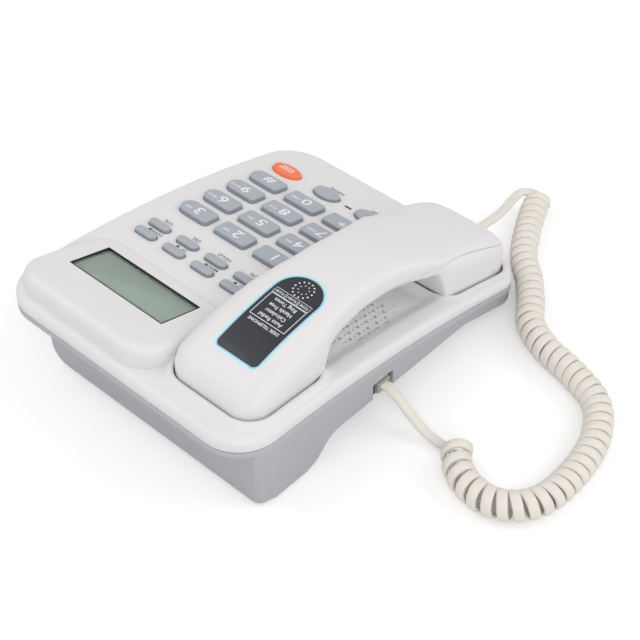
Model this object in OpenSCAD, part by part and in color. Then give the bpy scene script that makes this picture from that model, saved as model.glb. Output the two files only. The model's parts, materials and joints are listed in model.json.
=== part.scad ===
// Corded landline phone: sloping desk set with display, keypad, hands-free loudspeaker
// and a handset on a curly cord. Millimetres, +Z up, standing on z = 0.
// +Y is the display end, -Y the user's end, -X the handset side.

/* [Body] */
// Width of the body over its side walls
body_w = 151; // [140:1:170]
// Length of the body, user's end to display end
body_l = 193; // [188:1:210]
// Plan radius of the body's four corners
corner_r = 20; // [14:1:24]
// Wall thickness of the moulded shells
wall = 2.2; // [1.8:0.1:2.6]
// Height of the deck's crest above the table
deck_crest_z = 42.3; // [41:0.5:48]
// Height of the white shell's rim, from the parting line to the deck
rim_h = 6.1; // [5:0.1:8]

/* [Lower case] */
// Height of the flat underside above the table
belly_z = 12.5; // [11:0.5:14]
// How far the rear foot stands in from the display end
foot_inset = 10.5; // [6:0.5:14]
// Length of the rear foot's sole
foot_l = 32; // [26:1:36]
// How far the lower case stands in from the right wall
right_inset = 18; // [12:1:22]
// Height of the grey lip under the parting line
lip_h = 3.2; // [2:0.1:5]
// Thickness of the rubber feet
pad_h = 1.2; // [0.8:0.1:2]

/* [Display] */
// Width of the display window
lcd_w = 59; // [50:1:62]
// Length of the display window, along its slope
lcd_l = 23.2; // [20:0.5:25]
// Depth of the window's recess
lcd_recess = 1; // [0.6:0.1:1.6]
// Width of the raised display block
block_w = 87; // [84:1:90]
// Slope of the display block
block_tilt = 14.7; // [12:0.1:16]

/* [Keys] */
// Width of a number key
key_w = 19.7; // [15:0.1:21]
// Depth of a number key, front to back
key_d = 10.2; // [8:0.1:12]
// Spacing of the key columns
key_pitch_x = 25; // [24:0.1:26]
// Spacing of the key rows
key_pitch_y = 15.87; // [14.5:0.1:16.5]
// Height of the number keys above the deck
key_h = 2.3; // [1.8:0.1:3]
// Width of a small function key
pill_w = 12.6; // [9:0.1:14]
// Depth of a small function key
pill_d = 4.8; // [4:0.1:5.6]
// Width of an oval key
oval_w = 15; // [12:0.1:17]
// Depth of an oval key
oval_d = 10.4; // [8:0.1:12]
// Travel of every key
key_travel = 1.4; // [1:0.1:1.6]
// Gap between a key and its hole
key_gap = 0.35; // [0.3:0.05:0.5]

/* [Handset] */
// Width of the handset over its cups
handset_w = 50; // [46:1:52]
// Wall thickness of the handset shells
handset_wall = 2; // [1.6:0.1:2.4]
// Gap between a cup and the wall of its well
cup_gap = 0.8; // [0.5:0.1:1.2]
// Gap under a resting cup
seat_gap = 0.3; // [0.2:0.05:0.5]
// Diameter of the receiver capsule
receiver_d = 32; // [26:1:34]

/* [Loudspeaker] */
// Diameter of the loudspeaker
speaker_d = 45; // [40:1:47]
// Diameter of a grille hole
grille_hole_d = 1.8; // [1.4:0.1:2.2]
// Spacing of the grille holes along a row
grille_pitch = 5.9; // [5:0.1:7]

/* [Cord] */
// Width of the flat cord
cord_w = 4.8; // [4.4:0.1:5.2]
// Thickness of the flat cord
cord_t = 2.4; // [2.2:0.1:2.8]
// Outer diameter of the curly stretch
coil_d = 14; // [12:0.5:14]
// Width of a handset plug
plug_w = 7.6; // [7.4:0.1:7.8]
// Height of a handset plug
plug_h = 5.6; // [5.2:0.1:6]
// Gap between a plug and its socket
plug_gap = 0.1; // [0.05:0.05:0.2]

/* [Hidden] */
$fn = 48;

// Height that clears the whole body
tall = 80;
// How far a cutting shape runs past the body, and the steps of a curved profile
overrun = 5;
profile_steps = 18;

// Side profile: two arcs, both falling towards the user's end
deck_crest_y = body_l / 2 - 6.8;
deck_r = 612;
seam_crest_y = body_l / 2 - 2.5;
seam_r = 680;
seam_crest_z = deck_crest_z - rim_h;
front_y = -body_l / 2;
rear_y = body_l / 2;
left_x = -body_w / 2;
right_x = body_w / 2;

function deck_z(y) = deck_crest_z - deck_r + sqrt(deck_r * deck_r - pow(deck_crest_y - y, 2));
function seam_z(y) = seam_crest_z - seam_r + sqrt(seam_r * seam_r - pow(seam_crest_y - y, 2));
function deck_slope(y) = asin((deck_crest_y - y) / deck_r);

// How far the lower case stands in below its lip
lip_step = 0.4;

// Shallow tray of the lower case, under the keypad
tray_step = 0.8;
tray_rear_y = 45;
tray_right_x = right_x - 8.5;

// Keypad
keypad_y = -21.2;
keypad_x = 51.25;
key_slope = deck_slope(keypad_y);
key_bevel = 0.8;
key_r = 1.6;
pill_h = 2;
oval_pitch_x = 26.9;
oval_shift = 2.3;
key_flange = 1;
key_flange_t = 1;
key_skirt = wall + key_flange_t + 0.6;
mat_gap = 0.3;
mat_drop = key_skirt + key_travel + mat_gap;
mat_t = 1.2;
boss_d = 7;
pill_boss_d = 3.6;
boss_reach = 12;
boss_root = 0.3;
led_clear_d = 5;
board_t = 1.6;
board_drop = 9.2;
board_x0 = -13.5;
board_x1 = tray_right_x - wall - 0.6;
board_front = -72;
board_rear = 37;

// Function keys and lamp
pill_x = 54.8;
pill_pitch_x = 18.5;
pill_rows = [17.8, 26.4];
oval_y = -66.4;
led_x = 12.5;
led_w = 4;
led_d = 1.3;
led_gap = 0.1;
led_proud = 0.3;
led_skirt = 1.5;

// Display block
block_x = right_x - 4.7 - block_w / 2;
block_front_y = 36;
block_rear_y = rear_y - 4.1;
block_r = 16;
block_hinge_y = 38;
lcd_x = 28;
lcd_front_y = 46.2;
lens_t = 1;
lcd_t = 2.8;
lens_play = 0.2;
panel_play = 0.8;
lcd_board_gap = 0.1;
lcd_board_margin = 1;
lcd_border = 3;
function block_z(y) = deck_z(block_hinge_y) + (y - block_hinge_y) * tan(block_tilt);

// Handset and its wells
handset_x = -43;
handset_rear_y = rear_y - 13.5;
handset_front_y = front_y + 4.5;
ear_inner_y = handset_rear_y - 46;
mouth_inner_y = handset_front_y + 49.5;
cup_r = 11;
cup_inner_r = 9;
well_floor_t = 2.5;
case_gap = 0.3;
tub_inset = wall + lip_step + case_gap;
cup_depth = 4.2;
ear_sole_z = deck_z(60) - cup_depth;
well_rim_w = 2.6;
well_rim_h = 1.2;
trough_depth = 4;
trough_end = 4;
trough_r = 9;
trough_w = handset_w - 2;

// Stations along the handset: y, half-width share, crown and sole above its own seat
handset_stations = [
    [83, 0.64, 7.2, 2.9], [82, 0.76, 10.8, 1.2], [79, 0.90, 14.4, 0.2], [73, 1, 17.6, 0],
    [60, 1, 22, 0], [49, 1, 24.7, 0], [41.5, 0.98, 26, 0], [38, 0.96, 26.6, 1.4],
    [35.5, 0.94, 26.9, 5.8], [32, 0.90, 27.3, 10], [20, 0.82, 28, 12.4], [5, 0.77, 27.5, 12.6],
    [-8, 0.77, 40.1, 26], [-20, 0.80, 37.4, 23.3], [-31, 0.87, 34.1, 20], [-38, 0.92, 31.8, 18],
    [-41, 0.95, 30.7, 11], [-43, 0.97, 30, 3.6], [-46, 0.98, 28.8, 0.6], [-58, 1, 27, 0],
    [-70, 1, 25.5, 0], [-81, 0.97, 24, 0], [-87, 0.91, 22.3, 0.4], [-90.5, 0.82, 19.6, 1.6],
    [-92, 0.68, 16.5, 3.6]];
// Where the two handset shells meet: y, and height above the seat there
handset_seam = [[90, 6.2], [60, 6.5], [46, 8.2], [38, 11.2], [22, 15], [5, 16.2], [-10, 29.7],
    [-25, 27.1], [-44, 24.7], [-66, 22.6], [-96, 16.8]];
handset_sides = 24;
handset_power = 4;
// Length and middle of the handset that the stations are drawn for
drawn_l = 175;
drawn_mid = -4.5;
mouth_root_y = mouth_inner_y - 3.5;
function along(y) = (handset_rear_y + handset_front_y) / 2
    + (y - drawn_mid) * (handset_rear_y - handset_front_y) / drawn_l;
function mouth_sole_z(y) = deck_z(y) - cup_depth;
function seat_z(y) = y > 0 ? ear_sole_z : mouth_sole_z(min(y, mouth_root_y));

// Loudspeaker under the trough
speaker_x = handset_x;
speaker_y = -2;
speaker_h = 12;
grille_rows = 13;
grille_margin = 3.4;
grille_reach = 3;
grille_row_pitch = 3.4;

// Hook switch, in the ear well
hook_x = handset_x + 12;
hook_y = 66;
hook_w = 9;
hook_d = 4.6;
hook_gap = 0.3;
hook_h = 16;
hook_foot = [13, 6.6, 2.4];
hook_shelf = [24, 10];
hook_switch_body = [20, 6.4];
hook_switch_stem = [6, 4];
hook_switch_drop = 2.5;

// Sockets: one for the handset cord in the left wall, one for the line in the right
jack_w = 13;
jack_h = 8.4;
jack_l = 16;
cord_jack_y = 9;
cord_jack_z = 17;
line_jack_y = 30;
line_jack_z = 20;
plug_l = 13;
socket_l = 11;

jack_gap = 0.2;
jack_set = 2;
line_jack_w = 14;
line_mouth_w = 9.7;
line_mouth_h = 6.6;
handset_jack_w = 10.4;

// Parts inside
main_board_y = 12;
main_board_w = 64;
board_play = 1;
main_board_x = tray_right_x - jack_set - jack_l - board_play - main_board_w / 2;
standoff_inset = 5;
standoff_d = 5;
main_board_l = 72;
main_board_z = belly_z + wall + 1.4;
big_chip = [18, 12, 2];
big_chip_at = [22, 34];
small_chip = [10, 6, 1.6];
small_chip_at = [8, 52];
capacitors_x = [14, 30, 46];
capacitors_y = 24;
capacitor_d = 6;
capacitor_h = 3.2;
ribbon_y = 28;
ribbon_w = 20;
ribbon_t = 0.8;
ribbon_gap = 0.1;
hook_shelf_z = 11;
receiver_y = handset_rear_y - 20.5;
receiver_seat = 0.8;
mic_y = handset_front_y + 26;
weight_y = 0;
weight_z = ear_sole_z + 16;
weight_tilt = 6;
weight_size = [22, 36, 5];
capsule_h = 5;
capsule_magnet_h = 8;
mic_d = 9.6;
mic_h = 6;

// Handset screws: y, and height of the meeting of the two bosses above the seat
handset_screws_at = [[ear_inner_y + 5.8, 8.8], [mouth_inner_y - 12.5, 11.3]];
handset_screw_d = 2.6;
handset_screw_grip = 6;
handset_boss_d = 6.4;
handset_head_d = 4.8;
handset_head_h = 1.6;
handset_jack_z = deck_z(handset_front_y) + 5.3;

// Lower case
foot_front_y = rear_y - foot_inset - foot_l;
foot_rise = 12;
nose_y = -84;
nose_z = 3.4;
brow_y = -48;
lower_right_x = right_x - right_inset;
lower_round = 9;
screw_d = 3;
screw_head_d = 5.6;
screw_head_h = 1.8;
screw_grip = 5;
screw_seat = 3;
joint_z = belly_z + screw_seat + 1;
pillar_d = 7.4;
lower_pillar_d = 9;
pillar_gap = 0.5;
case_screws_xy = [[-12, -57], [39.8, -61.3], [-62, 77], [44, 80]];
pads_xy = [[-58, -89], [44, -89], [-62, 62], [42, 64]];
pad_r = 4;

// Cord route on the table, from the base socket round to the handset's mouth end
base_lead = [[left_x, 9, 17], [-79, 9, 16.6], [-84, 9, 14.6], [-89, 9, 11], [-95, 8.8, 6.6],
    [-101, 8.6, 3.6], [-107, 8.2, 2.4], [-112, 8, 2.6], [-116, 7.6, 3.4]];
coil_route = [[-116, 7.4, 7], [-122, 15.5, 7], [-132, 21.5, 7], [-145, 22.5, 7], [-156, 15.5, 7],
    [-161.5, 2, 7], [-161, -20, 7], [-156, -38, 7], [-145, -53, 7], [-128, -60.5, 7],
    [-108, -66, 7], [-94, -74, 7], [-86, -85, 7], [-76, -97.5, 7], [-64, -109, 7],
    [-54.5, -124, 7], [-46, -141, 7], [-43.5, -148, 7]];
handset_lead = [[-41.8, -148.6, 9], [-38, -149, 10.4], [-35.5, -144, 11.6], [-36.6, -136, 13],
    [-40, -124, 15.6], [-42.4, -113, 18.4], [-43, -103, 20], [-43, -94.3, 20]];
cord_sides = 8;
coil_sides = 12;

white = [0.89, 0.89, 0.90];
grey = [0.62, 0.63, 0.65];
key_grey = [0.64, 0.66, 0.69];
cord_white = [0.93, 0.91, 0.88];

// ---------- helpers ----------

module rounded_rect(w, l, r) {
    for (x = [-1, 1]) for (y = [-1, 1])
        translate([x * (w / 2 - r), y * (l / 2 - r)]) circle(r);
    square([w - 2 * r, l], center = true);
    square([w, l - 2 * r], center = true);
}

// Prism of the side profile: points are [y, z], swept from x0 to x1
module side_prism(points, x0, x1)
    translate([x0, 0, 0]) rotate([90, 0, 90]) linear_extrude(x1 - x0) polygon(points);

function steps(a, b, n) = [for (i = [0 : n]) a + (b - a) * i / n];
rising_y = steps(front_y - overrun, rear_y + overrun, profile_steps);
falling_y = steps(rear_y + overrun, front_y - overrun, profile_steps);

// Everything above the deck arc, lowered by drop
module over_deck(drop, x0 = left_x - overrun, x1 = right_x + overrun, y0 = front_y - overrun,
        y1 = rear_y + overrun)
    side_prism(concat([for (y = steps(y0, y1, profile_steps)) [y, deck_z(y) - drop]], [[y1, 100], [y0, 100]]),
        x0, x1);

// Layer that follows the deck, between two depths below it
module deck_band(drop0, drop1)
    side_prism(concat([for (y = rising_y) [y, deck_z(y) - drop0]],
        [for (y = falling_y) [y, deck_z(y) - drop1]]), left_x - overrun, right_x + overrun);

// Places children on the deck at x, y with +Z along its normal
module on_deck(x, y) translate([x, y, deck_z(y)]) rotate([deck_slope(y), 0, 0]) children();

// Closed tube through rings of points, capped flat at both ends
module tube(rings) {
    n = len(rings[0]);
    last = len(rings) - 1;
    points = [for (ring = rings) each ring];
    walls = [for (k = [0 : last - 1]) for (i = [0 : n - 1]) let (j = (i + 1) % n)
        each [[k * n + i, k * n + n + i, k * n + n + j], [k * n + i, k * n + n + j, k * n + j]]];
    first_cap = [for (i = [1 : n - 2]) [0, i, i + 1]];
    last_cap = [for (i = [1 : n - 2]) last * n * [1, 1, 1] + [0, i + 1, i]];
    polyhedron(points, concat(walls, first_cap, last_cap));
}

function unit(v) = v / norm(v);
function tangent(route, i) = unit(route[min(i + 1, len(route) - 1)] - route[max(i - 1, 0)]);

// Rings of an oval section swept along a route, its width lying level
function swept(route, w, t, sides) = [for (i = [0 : len(route) - 1])
    let (d = tangent(route, i), s = unit(cross([0, 0, 1], d)), u = cross(d, s))
    [for (k = [0 : sides - 1]) let (a = 360 * k / sides)
        route[i] + s * (w / 2 * cos(a)) + u * (t / 2 * sin(a))]];

// ---------- white upper shell ----------

// Solid between the parting line and the deck, inset from the walls and lowered by drop
module deck_solid(inset, drop, below)
    intersection() {
        side_prism(concat([for (y = rising_y) [y, deck_z(y) - drop]],
            [for (y = falling_y) [y, seam_z(y) - below]]), left_x, right_x);
        linear_extrude(tall) rounded_rect(body_w - 2 * inset, body_l - 2 * inset, corner_r - inset);
    }

// Wedge under the display, fading into the deck at its front
module block_solid(inset, drop, root)
    intersection() {
        side_prism([[block_front_y, block_z(block_front_y) - drop],
            [block_rear_y, block_z(block_rear_y) - drop],
            [block_rear_y, deck_z(block_rear_y) - root], [block_front_y, deck_z(block_front_y) - root]],
            left_x, right_x);
        linear_extrude(tall) translate([block_x, (block_front_y + block_rear_y) / 2])
            rounded_rect(block_w - 2 * inset, block_rear_y - block_front_y - 2 * inset, block_r - inset);
    }

// Outline of one handset cup: its outer corners are rounder than those beside the trough
module well_outline(outer_y, inner_y, grow = 0) {
    s = sign(outer_y - inner_y);
    y0 = inner_y + s * cup_inner_r;
    y1 = outer_y - s * cup_r;
    translate([handset_x, 0]) {
        for (x = [-1, 1]) {
            translate([x * (handset_w / 2 - cup_r), y1]) circle(cup_r + grow);
            translate([x * (handset_w / 2 - cup_inner_r), y0]) circle(cup_inner_r + grow);
        }
        translate([0, (y0 + y1) / 2]) square([handset_w + 2 * grow, abs(y1 - y0)], center = true);
        translate([0, (y1 + outer_y + s * grow) / 2])
            square([handset_w - 2 * cup_r, cup_r + grow], center = true);
        translate([0, (y0 + inner_y - s * grow) / 2])
            square([handset_w - 2 * cup_inner_r, cup_inner_r + grow], center = true);
    }
}

module well_outlines(grow) {
    well_outline(handset_rear_y, ear_inner_y, grow);
    well_outline(handset_front_y, mouth_inner_y, grow);
}

module well_rims()
    intersection() {
        linear_extrude(tall) well_outlines(cup_gap + well_rim_w);
        deck_band(-well_rim_h, wall / 2);
    }

module wells() {
    // ear well: flat floor
    translate([0, 0, ear_sole_z - seat_gap]) linear_extrude(tall)
        well_outline(handset_rear_y, ear_inner_y, cup_gap);
    // mouth well: floor follows the deck
    intersection() {
        linear_extrude(tall) well_outline(handset_front_y, mouth_inner_y, cup_gap);
        over_deck(cup_depth + seat_gap);
    }
}

module well_tubs()
    intersection() {
        linear_extrude(tall) well_outlines(cup_gap + wall);
        deck_band(wall / 2, cup_depth + seat_gap + well_floor_t);
        linear_extrude(tall) rounded_rect(body_w - 2 * tub_inset, body_l - 2 * tub_inset,
            corner_r - tub_inset);
    }

module trough_outline(grow = 0)
    translate([handset_x, (mouth_inner_y + ear_inner_y) / 2])
        rounded_rect(trough_w + 2 * grow, ear_inner_y - mouth_inner_y - 2 * trough_end + 2 * grow,
            trough_r + grow);

module trough_floor()
    intersection() {
        linear_extrude(tall) trough_outline(wall);
        deck_band(wall / 2, trough_depth + wall);
    }

module grille_holes()
    for (row = [0 : grille_rows - 1]) {
        dx = (row - (grille_rows - 1) / 2) * grille_row_pitch;
        shift = (row % 2) * grille_pitch / 2;
        for (k = [-grille_reach : grille_reach]) {
            dy = k * grille_pitch + shift;
            if (norm([dx, dy]) < speaker_d / 2 - grille_margin)
                translate([speaker_x + dx, speaker_y + dy, belly_z])
                    cylinder(d = grille_hole_d, h = deck_crest_z - belly_z, $fn = 16);
        }
    }

// Key outline: side 0 has four small corners, -1 or 1 has a half-round left or right end
module key_plan(w, d, side, grow = 0) {
    if (side == 0) rounded_rect(w + 2 * grow, d + 2 * grow, key_r + grow);
    else if (side == 2) {
        for (x = [-1, 1]) translate([x * (w - d) / 2, 0]) circle(d / 2 + grow);
        square([w - d, d + 2 * grow], center = true);
    } else {
        translate([side * (w - d) / 2, 0]) circle(d / 2 + grow);
        translate([-side * d / 4, 0]) rounded_rect(w - d / 2 + 2 * grow, d + 2 * grow, key_r + grow);
    }
}

module key_hole(w, d, side)
    translate([0, 0, -wall - 3]) linear_extrude(wall + 8) key_plan(w, d, side, key_gap);

column_x = [for (i = [0 : 2]) keypad_x - (2 - i) * key_pitch_x];
row_y = [for (j = [0 : 3]) keypad_y + (1.5 - j) * key_pitch_y * cos(key_slope) - key_d / 2];
pills_x = [for (i = [0 : 3]) pill_x - i * pill_pitch_x];
ovals_x = [for (i = [0 : 2]) keypad_x + oval_shift - i * oval_pitch_x];

module all_key_holes() {
    for (i = [0 : 2]) for (y = row_y) on_deck(column_x[i], y) key_hole(key_w, key_d, i - 1);
    for (x = pills_x) for (y = pill_rows) on_deck(x, y) key_hole(pill_w, pill_d, 2);
    for (x = ovals_x) on_deck(x, oval_y) key_hole(oval_w, oval_d, 2);
    on_deck(led_x, oval_y) translate([-led_w / 2, -led_d / 2, -wall - 3]) cube([led_w, led_d, wall + 6]);
}

module on_block(x, y, drop = 0)
    translate([x, y, block_z(y)]) rotate([block_tilt, 0, 0]) translate([0, 0, -drop]) children();

// Pillars that the case screws pull against the lower case
module screw_pillars_upper()
    for (xy = case_screws_xy)
        translate([xy[0], xy[1], joint_z])
            cylinder(d = pillar_d, h = deck_z(xy[1]) - joint_z - wall / 2);

module screw_bores()
    for (xy = case_screws_xy)
        translate([xy[0], xy[1], joint_z - 1]) cylinder(d = screw_d, h = screw_grip + 1.6);

module top_case() color(white) difference() {
    union() {
        difference() {
            deck_solid(0, 0, 0);
            deck_solid(wall, wall, 3);
        }
        difference() {
            block_solid(0, 0, wall / 2);
            block_solid(wall, wall, 10);
        }
        well_tubs();
        trough_floor();
        well_rims();
        screw_pillars_upper();
    }
    wells();
    intersection() {
        linear_extrude(tall) trough_outline();
        over_deck(trough_depth);
    }
    intersection() {
        block_solid(wall, wall, 10);
        linear_extrude(tall) translate([lcd_x, lcd_front_y + lcd_l / 2])
            square([lcd_w + 2 * lcd_border + 2, lcd_l + 2 * lcd_border + 2], center = true);
    }
    screw_bores();
    grille_holes();
    all_key_holes();
    // display window and the seat of its lens
    on_block(lcd_x, lcd_front_y) translate([-lcd_w / 2, 0, -10]) cube([lcd_w, lcd_l, 20]);
    on_block(lcd_x, lcd_front_y, lcd_recess)
        translate([-lcd_w / 2 - lcd_border, -lcd_border, -10])
            cube([lcd_w + 2 * lcd_border, lcd_l + 2 * lcd_border, 10]);
    translate([hook_x, hook_y, ear_sole_z - 8])
        cube([hook_w + 2 * hook_gap, hook_d + 2 * hook_gap, 20], center = true);
}

// ---------- grey lower case ----------

// Side view of the lower case from the nose to the brow, then its rear foot or its tray
function nose_profile(z) = [[front_y, 60], [front_y, nose_z + 2 + z], [front_y + 2, nose_z + z],
    [nose_y, nose_z + z], [brow_y, belly_z + z]];
function foot_profile(g) = [[foot_front_y - foot_rise + g * 0.4, belly_z + g],
    [foot_front_y + g * 0.4, pad_h + g], [rear_y - foot_inset - g, pad_h + g],
    [rear_y - foot_inset - g, 60]];
function tray_profile(z, g) = [[tray_rear_y - g, belly_z + z], [tray_rear_y - g, 60]];

// Section across the lower case, with a rounded lower right corner
module lower_section(g, x_end, bottom)
    rotate([90, 0, 0]) linear_extrude(2 * body_l, center = true)
        polygon(concat([[left_x + lip_step + g, 60], [left_x + lip_step + g, bottom]],
            [for (a = [-90 : 15 : 0]) [x_end - g - (lower_round - g) * (1 - cos(a)),
                bottom + (lower_round - g) * (1 + sin(a))]],
            [[x_end - g, 60]]));

// Foot and left side, and a wider shallow tray under the keypad
module lower_body(g) {
    intersection() {
        side_prism(concat(nose_profile(g), foot_profile(g)), left_x - 1, right_x + 1);
        lower_section(g, lower_right_x, pad_h + g);
        lower_plan(g);
    }
    intersection() {
        side_prism(concat(nose_profile(g + tray_step), tray_profile(g + tray_step, g)),
            left_x + wall * 2, tray_right_x - g);
        lower_plan(g);
    }
}

module lower_plan(g)
    linear_extrude(tall)
        rounded_rect(body_w - 2 * g - 2 * lip_step, body_l - 2 * g - 2 * lip_step, corner_r - g);

// Band under the parting line, between two drops below it
module lip_band(inset, drop0, drop1)
    intersection() {
        side_prism(concat([for (y = rising_y) [y, seam_z(y) - drop0]],
            [for (y = falling_y) [y, seam_z(y) - drop1]]), left_x, right_x);
        linear_extrude(tall) rounded_rect(body_w - 2 * inset, body_l - 2 * inset, corner_r - inset);
    }

// Everything below the middle of the lip
module under_lip()
    side_prism(concat([for (y = rising_y) [y, seam_z(y) - lip_h / 2]],
        [[rear_y + overrun, -overrun], [front_y - overrun, -overrun]]),
        left_x - overrun, right_x + overrun);

module bottom_case() color(grey) difference() {
    union() {
        difference() {
            union() {
                lip_band(0, 0, lip_h);
                intersection() {
                    lower_body(0);
                    under_lip();
                }
            }
            lip_band(wall, -3, lip_h - wall);
            lower_body(wall);
        }
        intersection() {
            union() {
                // screw pillars, open below for the screw heads
                for (xy = case_screws_xy) translate([xy[0], xy[1], 0])
                    cylinder(d = lower_pillar_d, h = joint_z);
                // shelf under the hook switch
                translate([hook_x - hook_shelf[0] / 2, hook_y - hook_shelf[1] / 2, 0])
                    cube([hook_shelf[0], hook_shelf[1], hook_shelf_z]);
                // stand-offs of the main board
                for (x = [-1, 1]) for (y = [-1, 1])
                    translate([main_board_x + x * (main_board_w / 2 - standoff_inset),
                        main_board_y + y * (main_board_l / 2 - standoff_inset), 0])
                            cylinder(d = standoff_d, h = main_board_z);
            }
            lower_body(wall / 2);
        }
    }
    for (xy = case_screws_xy) translate([xy[0], xy[1], -1]) {
        cylinder(d = screw_d + 0.4, h = joint_z + 5);
        cylinder(d = screw_head_d + 0.8, h = joint_z - screw_seat + 1);
    }
    // notch for the handset cord's socket, open at the side and below
    translate([left_x - 1, cord_jack_y - jack_w / 2 - jack_gap, belly_z - 1])
        cube([jack_l + jack_set + 1 + jack_gap, jack_w + 2 * jack_gap,
            cord_jack_z + jack_h / 2 - belly_z + 1 + jack_gap]);
    translate([tray_right_x - jack_l - jack_set - jack_gap,
        line_jack_y - line_jack_w / 2 - jack_gap, line_jack_z - jack_h / 2 - jack_gap])
        cube([jack_l + jack_set + 2, line_jack_w + 2 * jack_gap, jack_h + 2 * jack_gap]);
}

module rubber_feet() color([0.2, 0.2, 0.21])
    for (xy = pads_xy) translate([xy[0], xy[1], 0])
        cylinder(r = pad_r, h = xy[1] < 0 ? nose_z : pad_h);

module case_screws() color([0.75, 0.75, 0.77])
    for (xy = case_screws_xy) translate([xy[0], xy[1], joint_z - screw_seat]) {
        cylinder(d = screw_d, h = screw_seat + screw_grip);
        difference() {
            translate([0, 0, -screw_head_h]) cylinder(d = screw_head_d, h = screw_head_h);
            for (a = [0, 90]) rotate(a) translate([-1.6, -0.35, -screw_head_h - 0.2]) cube([3.2, 0.7, 1.2]);
        }
    }

// ---------- display ----------

// Plate under the window, standing in from the lens seat by inset on every side
module display_plate(inset, t)
    translate([inset - lcd_w / 2 - lcd_border, inset - lcd_border, -t])
        cube([lcd_w + 2 * (lcd_border - inset), lcd_l + 2 * (lcd_border - inset), t]);

module lcd_lens() color([0.8, 0.85, 0.8, 0.4])
    on_block(lcd_x, lcd_front_y, lcd_recess)
        display_plate(lens_play, lens_t);

module lcd_panel() color([0.61, 0.66, 0.61])
    on_block(lcd_x, lcd_front_y, lcd_recess + lens_t)
        display_plate(panel_play, lcd_t);

module lcd_board() color([0.15, 0.42, 0.25])
    on_block(lcd_x, lcd_front_y, lcd_recess + lens_t + lcd_t + lcd_board_gap)
        display_plate(-lcd_board_margin, board_t);

// ---------- boards and mat ----------

module on_keypad(drop) on_deck(0, keypad_y) translate([0, 0, -drop]) children();
module board_plate(t, inset)
    translate([board_x0 + inset, board_front + inset - keypad_y, 0])
        cube([board_x1 - board_x0 - 2 * inset, board_rear - board_front - 2 * inset, t]);

module pillar_clearance()
    for (xy = case_screws_xy) translate([xy[0], xy[1], 0])
        cylinder(d = lower_pillar_d + 2 * pillar_gap, h = deck_crest_z);

module keypad_board() color([0.15, 0.42, 0.25]) difference() {
    on_keypad(board_drop + board_t) board_plate(board_t, 0);
    pillar_clearance();
}

module mat_boss(x, y, d) intersection() {
    on_deck(x, y) translate([0, 0, -mat_drop - boss_reach]) cylinder(d = d, h = boss_reach);
    on_keypad(board_drop - mat_t + boss_root) translate([-100, -100, 0]) cube([200, 200, 20]);
}

module key_mat() color([0.75, 0.75, 0.76]) {
    difference() {
        on_keypad(board_drop) board_plate(mat_t, 1);
        on_deck(led_x, oval_y) translate([0, 0, -2 * boss_reach])
            cylinder(d = led_clear_d, h = 2 * boss_reach);
        pillar_clearance();
    }
    for (x = column_x) for (y = row_y) mat_boss(x, y, boss_d);
    for (x = pills_x) for (y = pill_rows) mat_boss(x, y, pill_boss_d);
    for (x = ovals_x) mat_boss(x, oval_y, boss_d);
}

module main_board() {
    translate([main_board_x - main_board_w / 2, main_board_y - main_board_l / 2, main_board_z]) {
        color([0.15, 0.42, 0.25]) cube([main_board_w, main_board_l, board_t]);
        color([0.1, 0.1, 0.1]) translate([big_chip_at[0], big_chip_at[1], board_t]) cube(big_chip);
        color([0.1, 0.1, 0.1]) translate([small_chip_at[0], small_chip_at[1], board_t]) cube(small_chip);
        color([0.2, 0.25, 0.5]) for (x = capacitors_x) translate([x, capacitors_y, board_t])
            cylinder(d = capacitor_d, h = capacitor_h);
    }
}

// Flat cable between the two boards, standing between them
module ribbon_cable() color([0.8, 0.8, 0.82]) {
    z0 = main_board_z + board_t;
    z1 = deck_z(keypad_y) - (board_drop + board_t) / cos(key_slope)
        + (ribbon_y - 1 - keypad_y) * tan(key_slope) - ribbon_gap;
    side_prism([[ribbon_y, z0], [ribbon_y + ribbon_t, z0], [ribbon_y + ribbon_t, z1], [ribbon_y, z1]],
        main_board_x - ribbon_w / 2, main_board_x + ribbon_w / 2);
}

module led_lens() color([0.45, 0.1, 0.12])
    on_deck(led_x, oval_y) translate([led_gap - led_w / 2, led_gap - led_d / 2, -wall - led_skirt])
        cube([led_w - 2 * led_gap, led_d - 2 * led_gap, wall + led_skirt + led_proud]);

module loudspeaker() color([0.25, 0.25, 0.27])
    on_deck(speaker_x, speaker_y) translate([0, 0, -trough_depth - wall - 0.6 - speaker_h]) {
        translate([0, 0, speaker_h - 3]) difference() {
            cylinder(d = speaker_d, h = 3);
            translate([0, 0, 1.6]) cylinder(d = speaker_d - 5, h = 2);
        }
        translate([0, 0, 4]) cylinder(d1 = speaker_d * 0.5, d2 = speaker_d - 4, h = speaker_h - 6.9);
        cylinder(d = speaker_d * 0.5, h = 5);
    }

// ---------- hook switch ----------

hook_top_z = ear_sole_z - seat_gap;
module hook_plunger() color(white)
    translate([hook_x, hook_y, 0]) {
        translate([-hook_w / 2, -hook_d / 2, hook_top_z - hook_h]) cube([hook_w, hook_d, hook_h]);
        translate([-hook_foot[0] / 2, -hook_foot[1] / 2, hook_top_z - hook_h]) cube(hook_foot);
    }

module hook_switch() color([0.12, 0.12, 0.13])
    translate([hook_x, hook_y, hook_shelf_z]) {
        raised_block(hook_switch_body, hook_top_z - hook_h - hook_shelf_z - hook_switch_drop);
        raised_block(hook_switch_stem, hook_top_z - hook_h - hook_shelf_z - hook_gap);
    }

// Block of a given plan size and height, centred in plan
module raised_block(size, h) translate([-size[0] / 2, -size[1] / 2, 0]) cube([size[0], size[1], h]);

// ---------- sockets ----------

// Socket body with its mouth at x = 0 facing -X
module socket(w, mouth_w, mouth_h) difference() {
    translate([0, -w / 2, -jack_h / 2]) cube([jack_l, w, jack_h]);
    translate([-1, -mouth_w / 2, -mouth_h / 2]) cube([socket_l + 1, mouth_w, mouth_h]);
}

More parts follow.
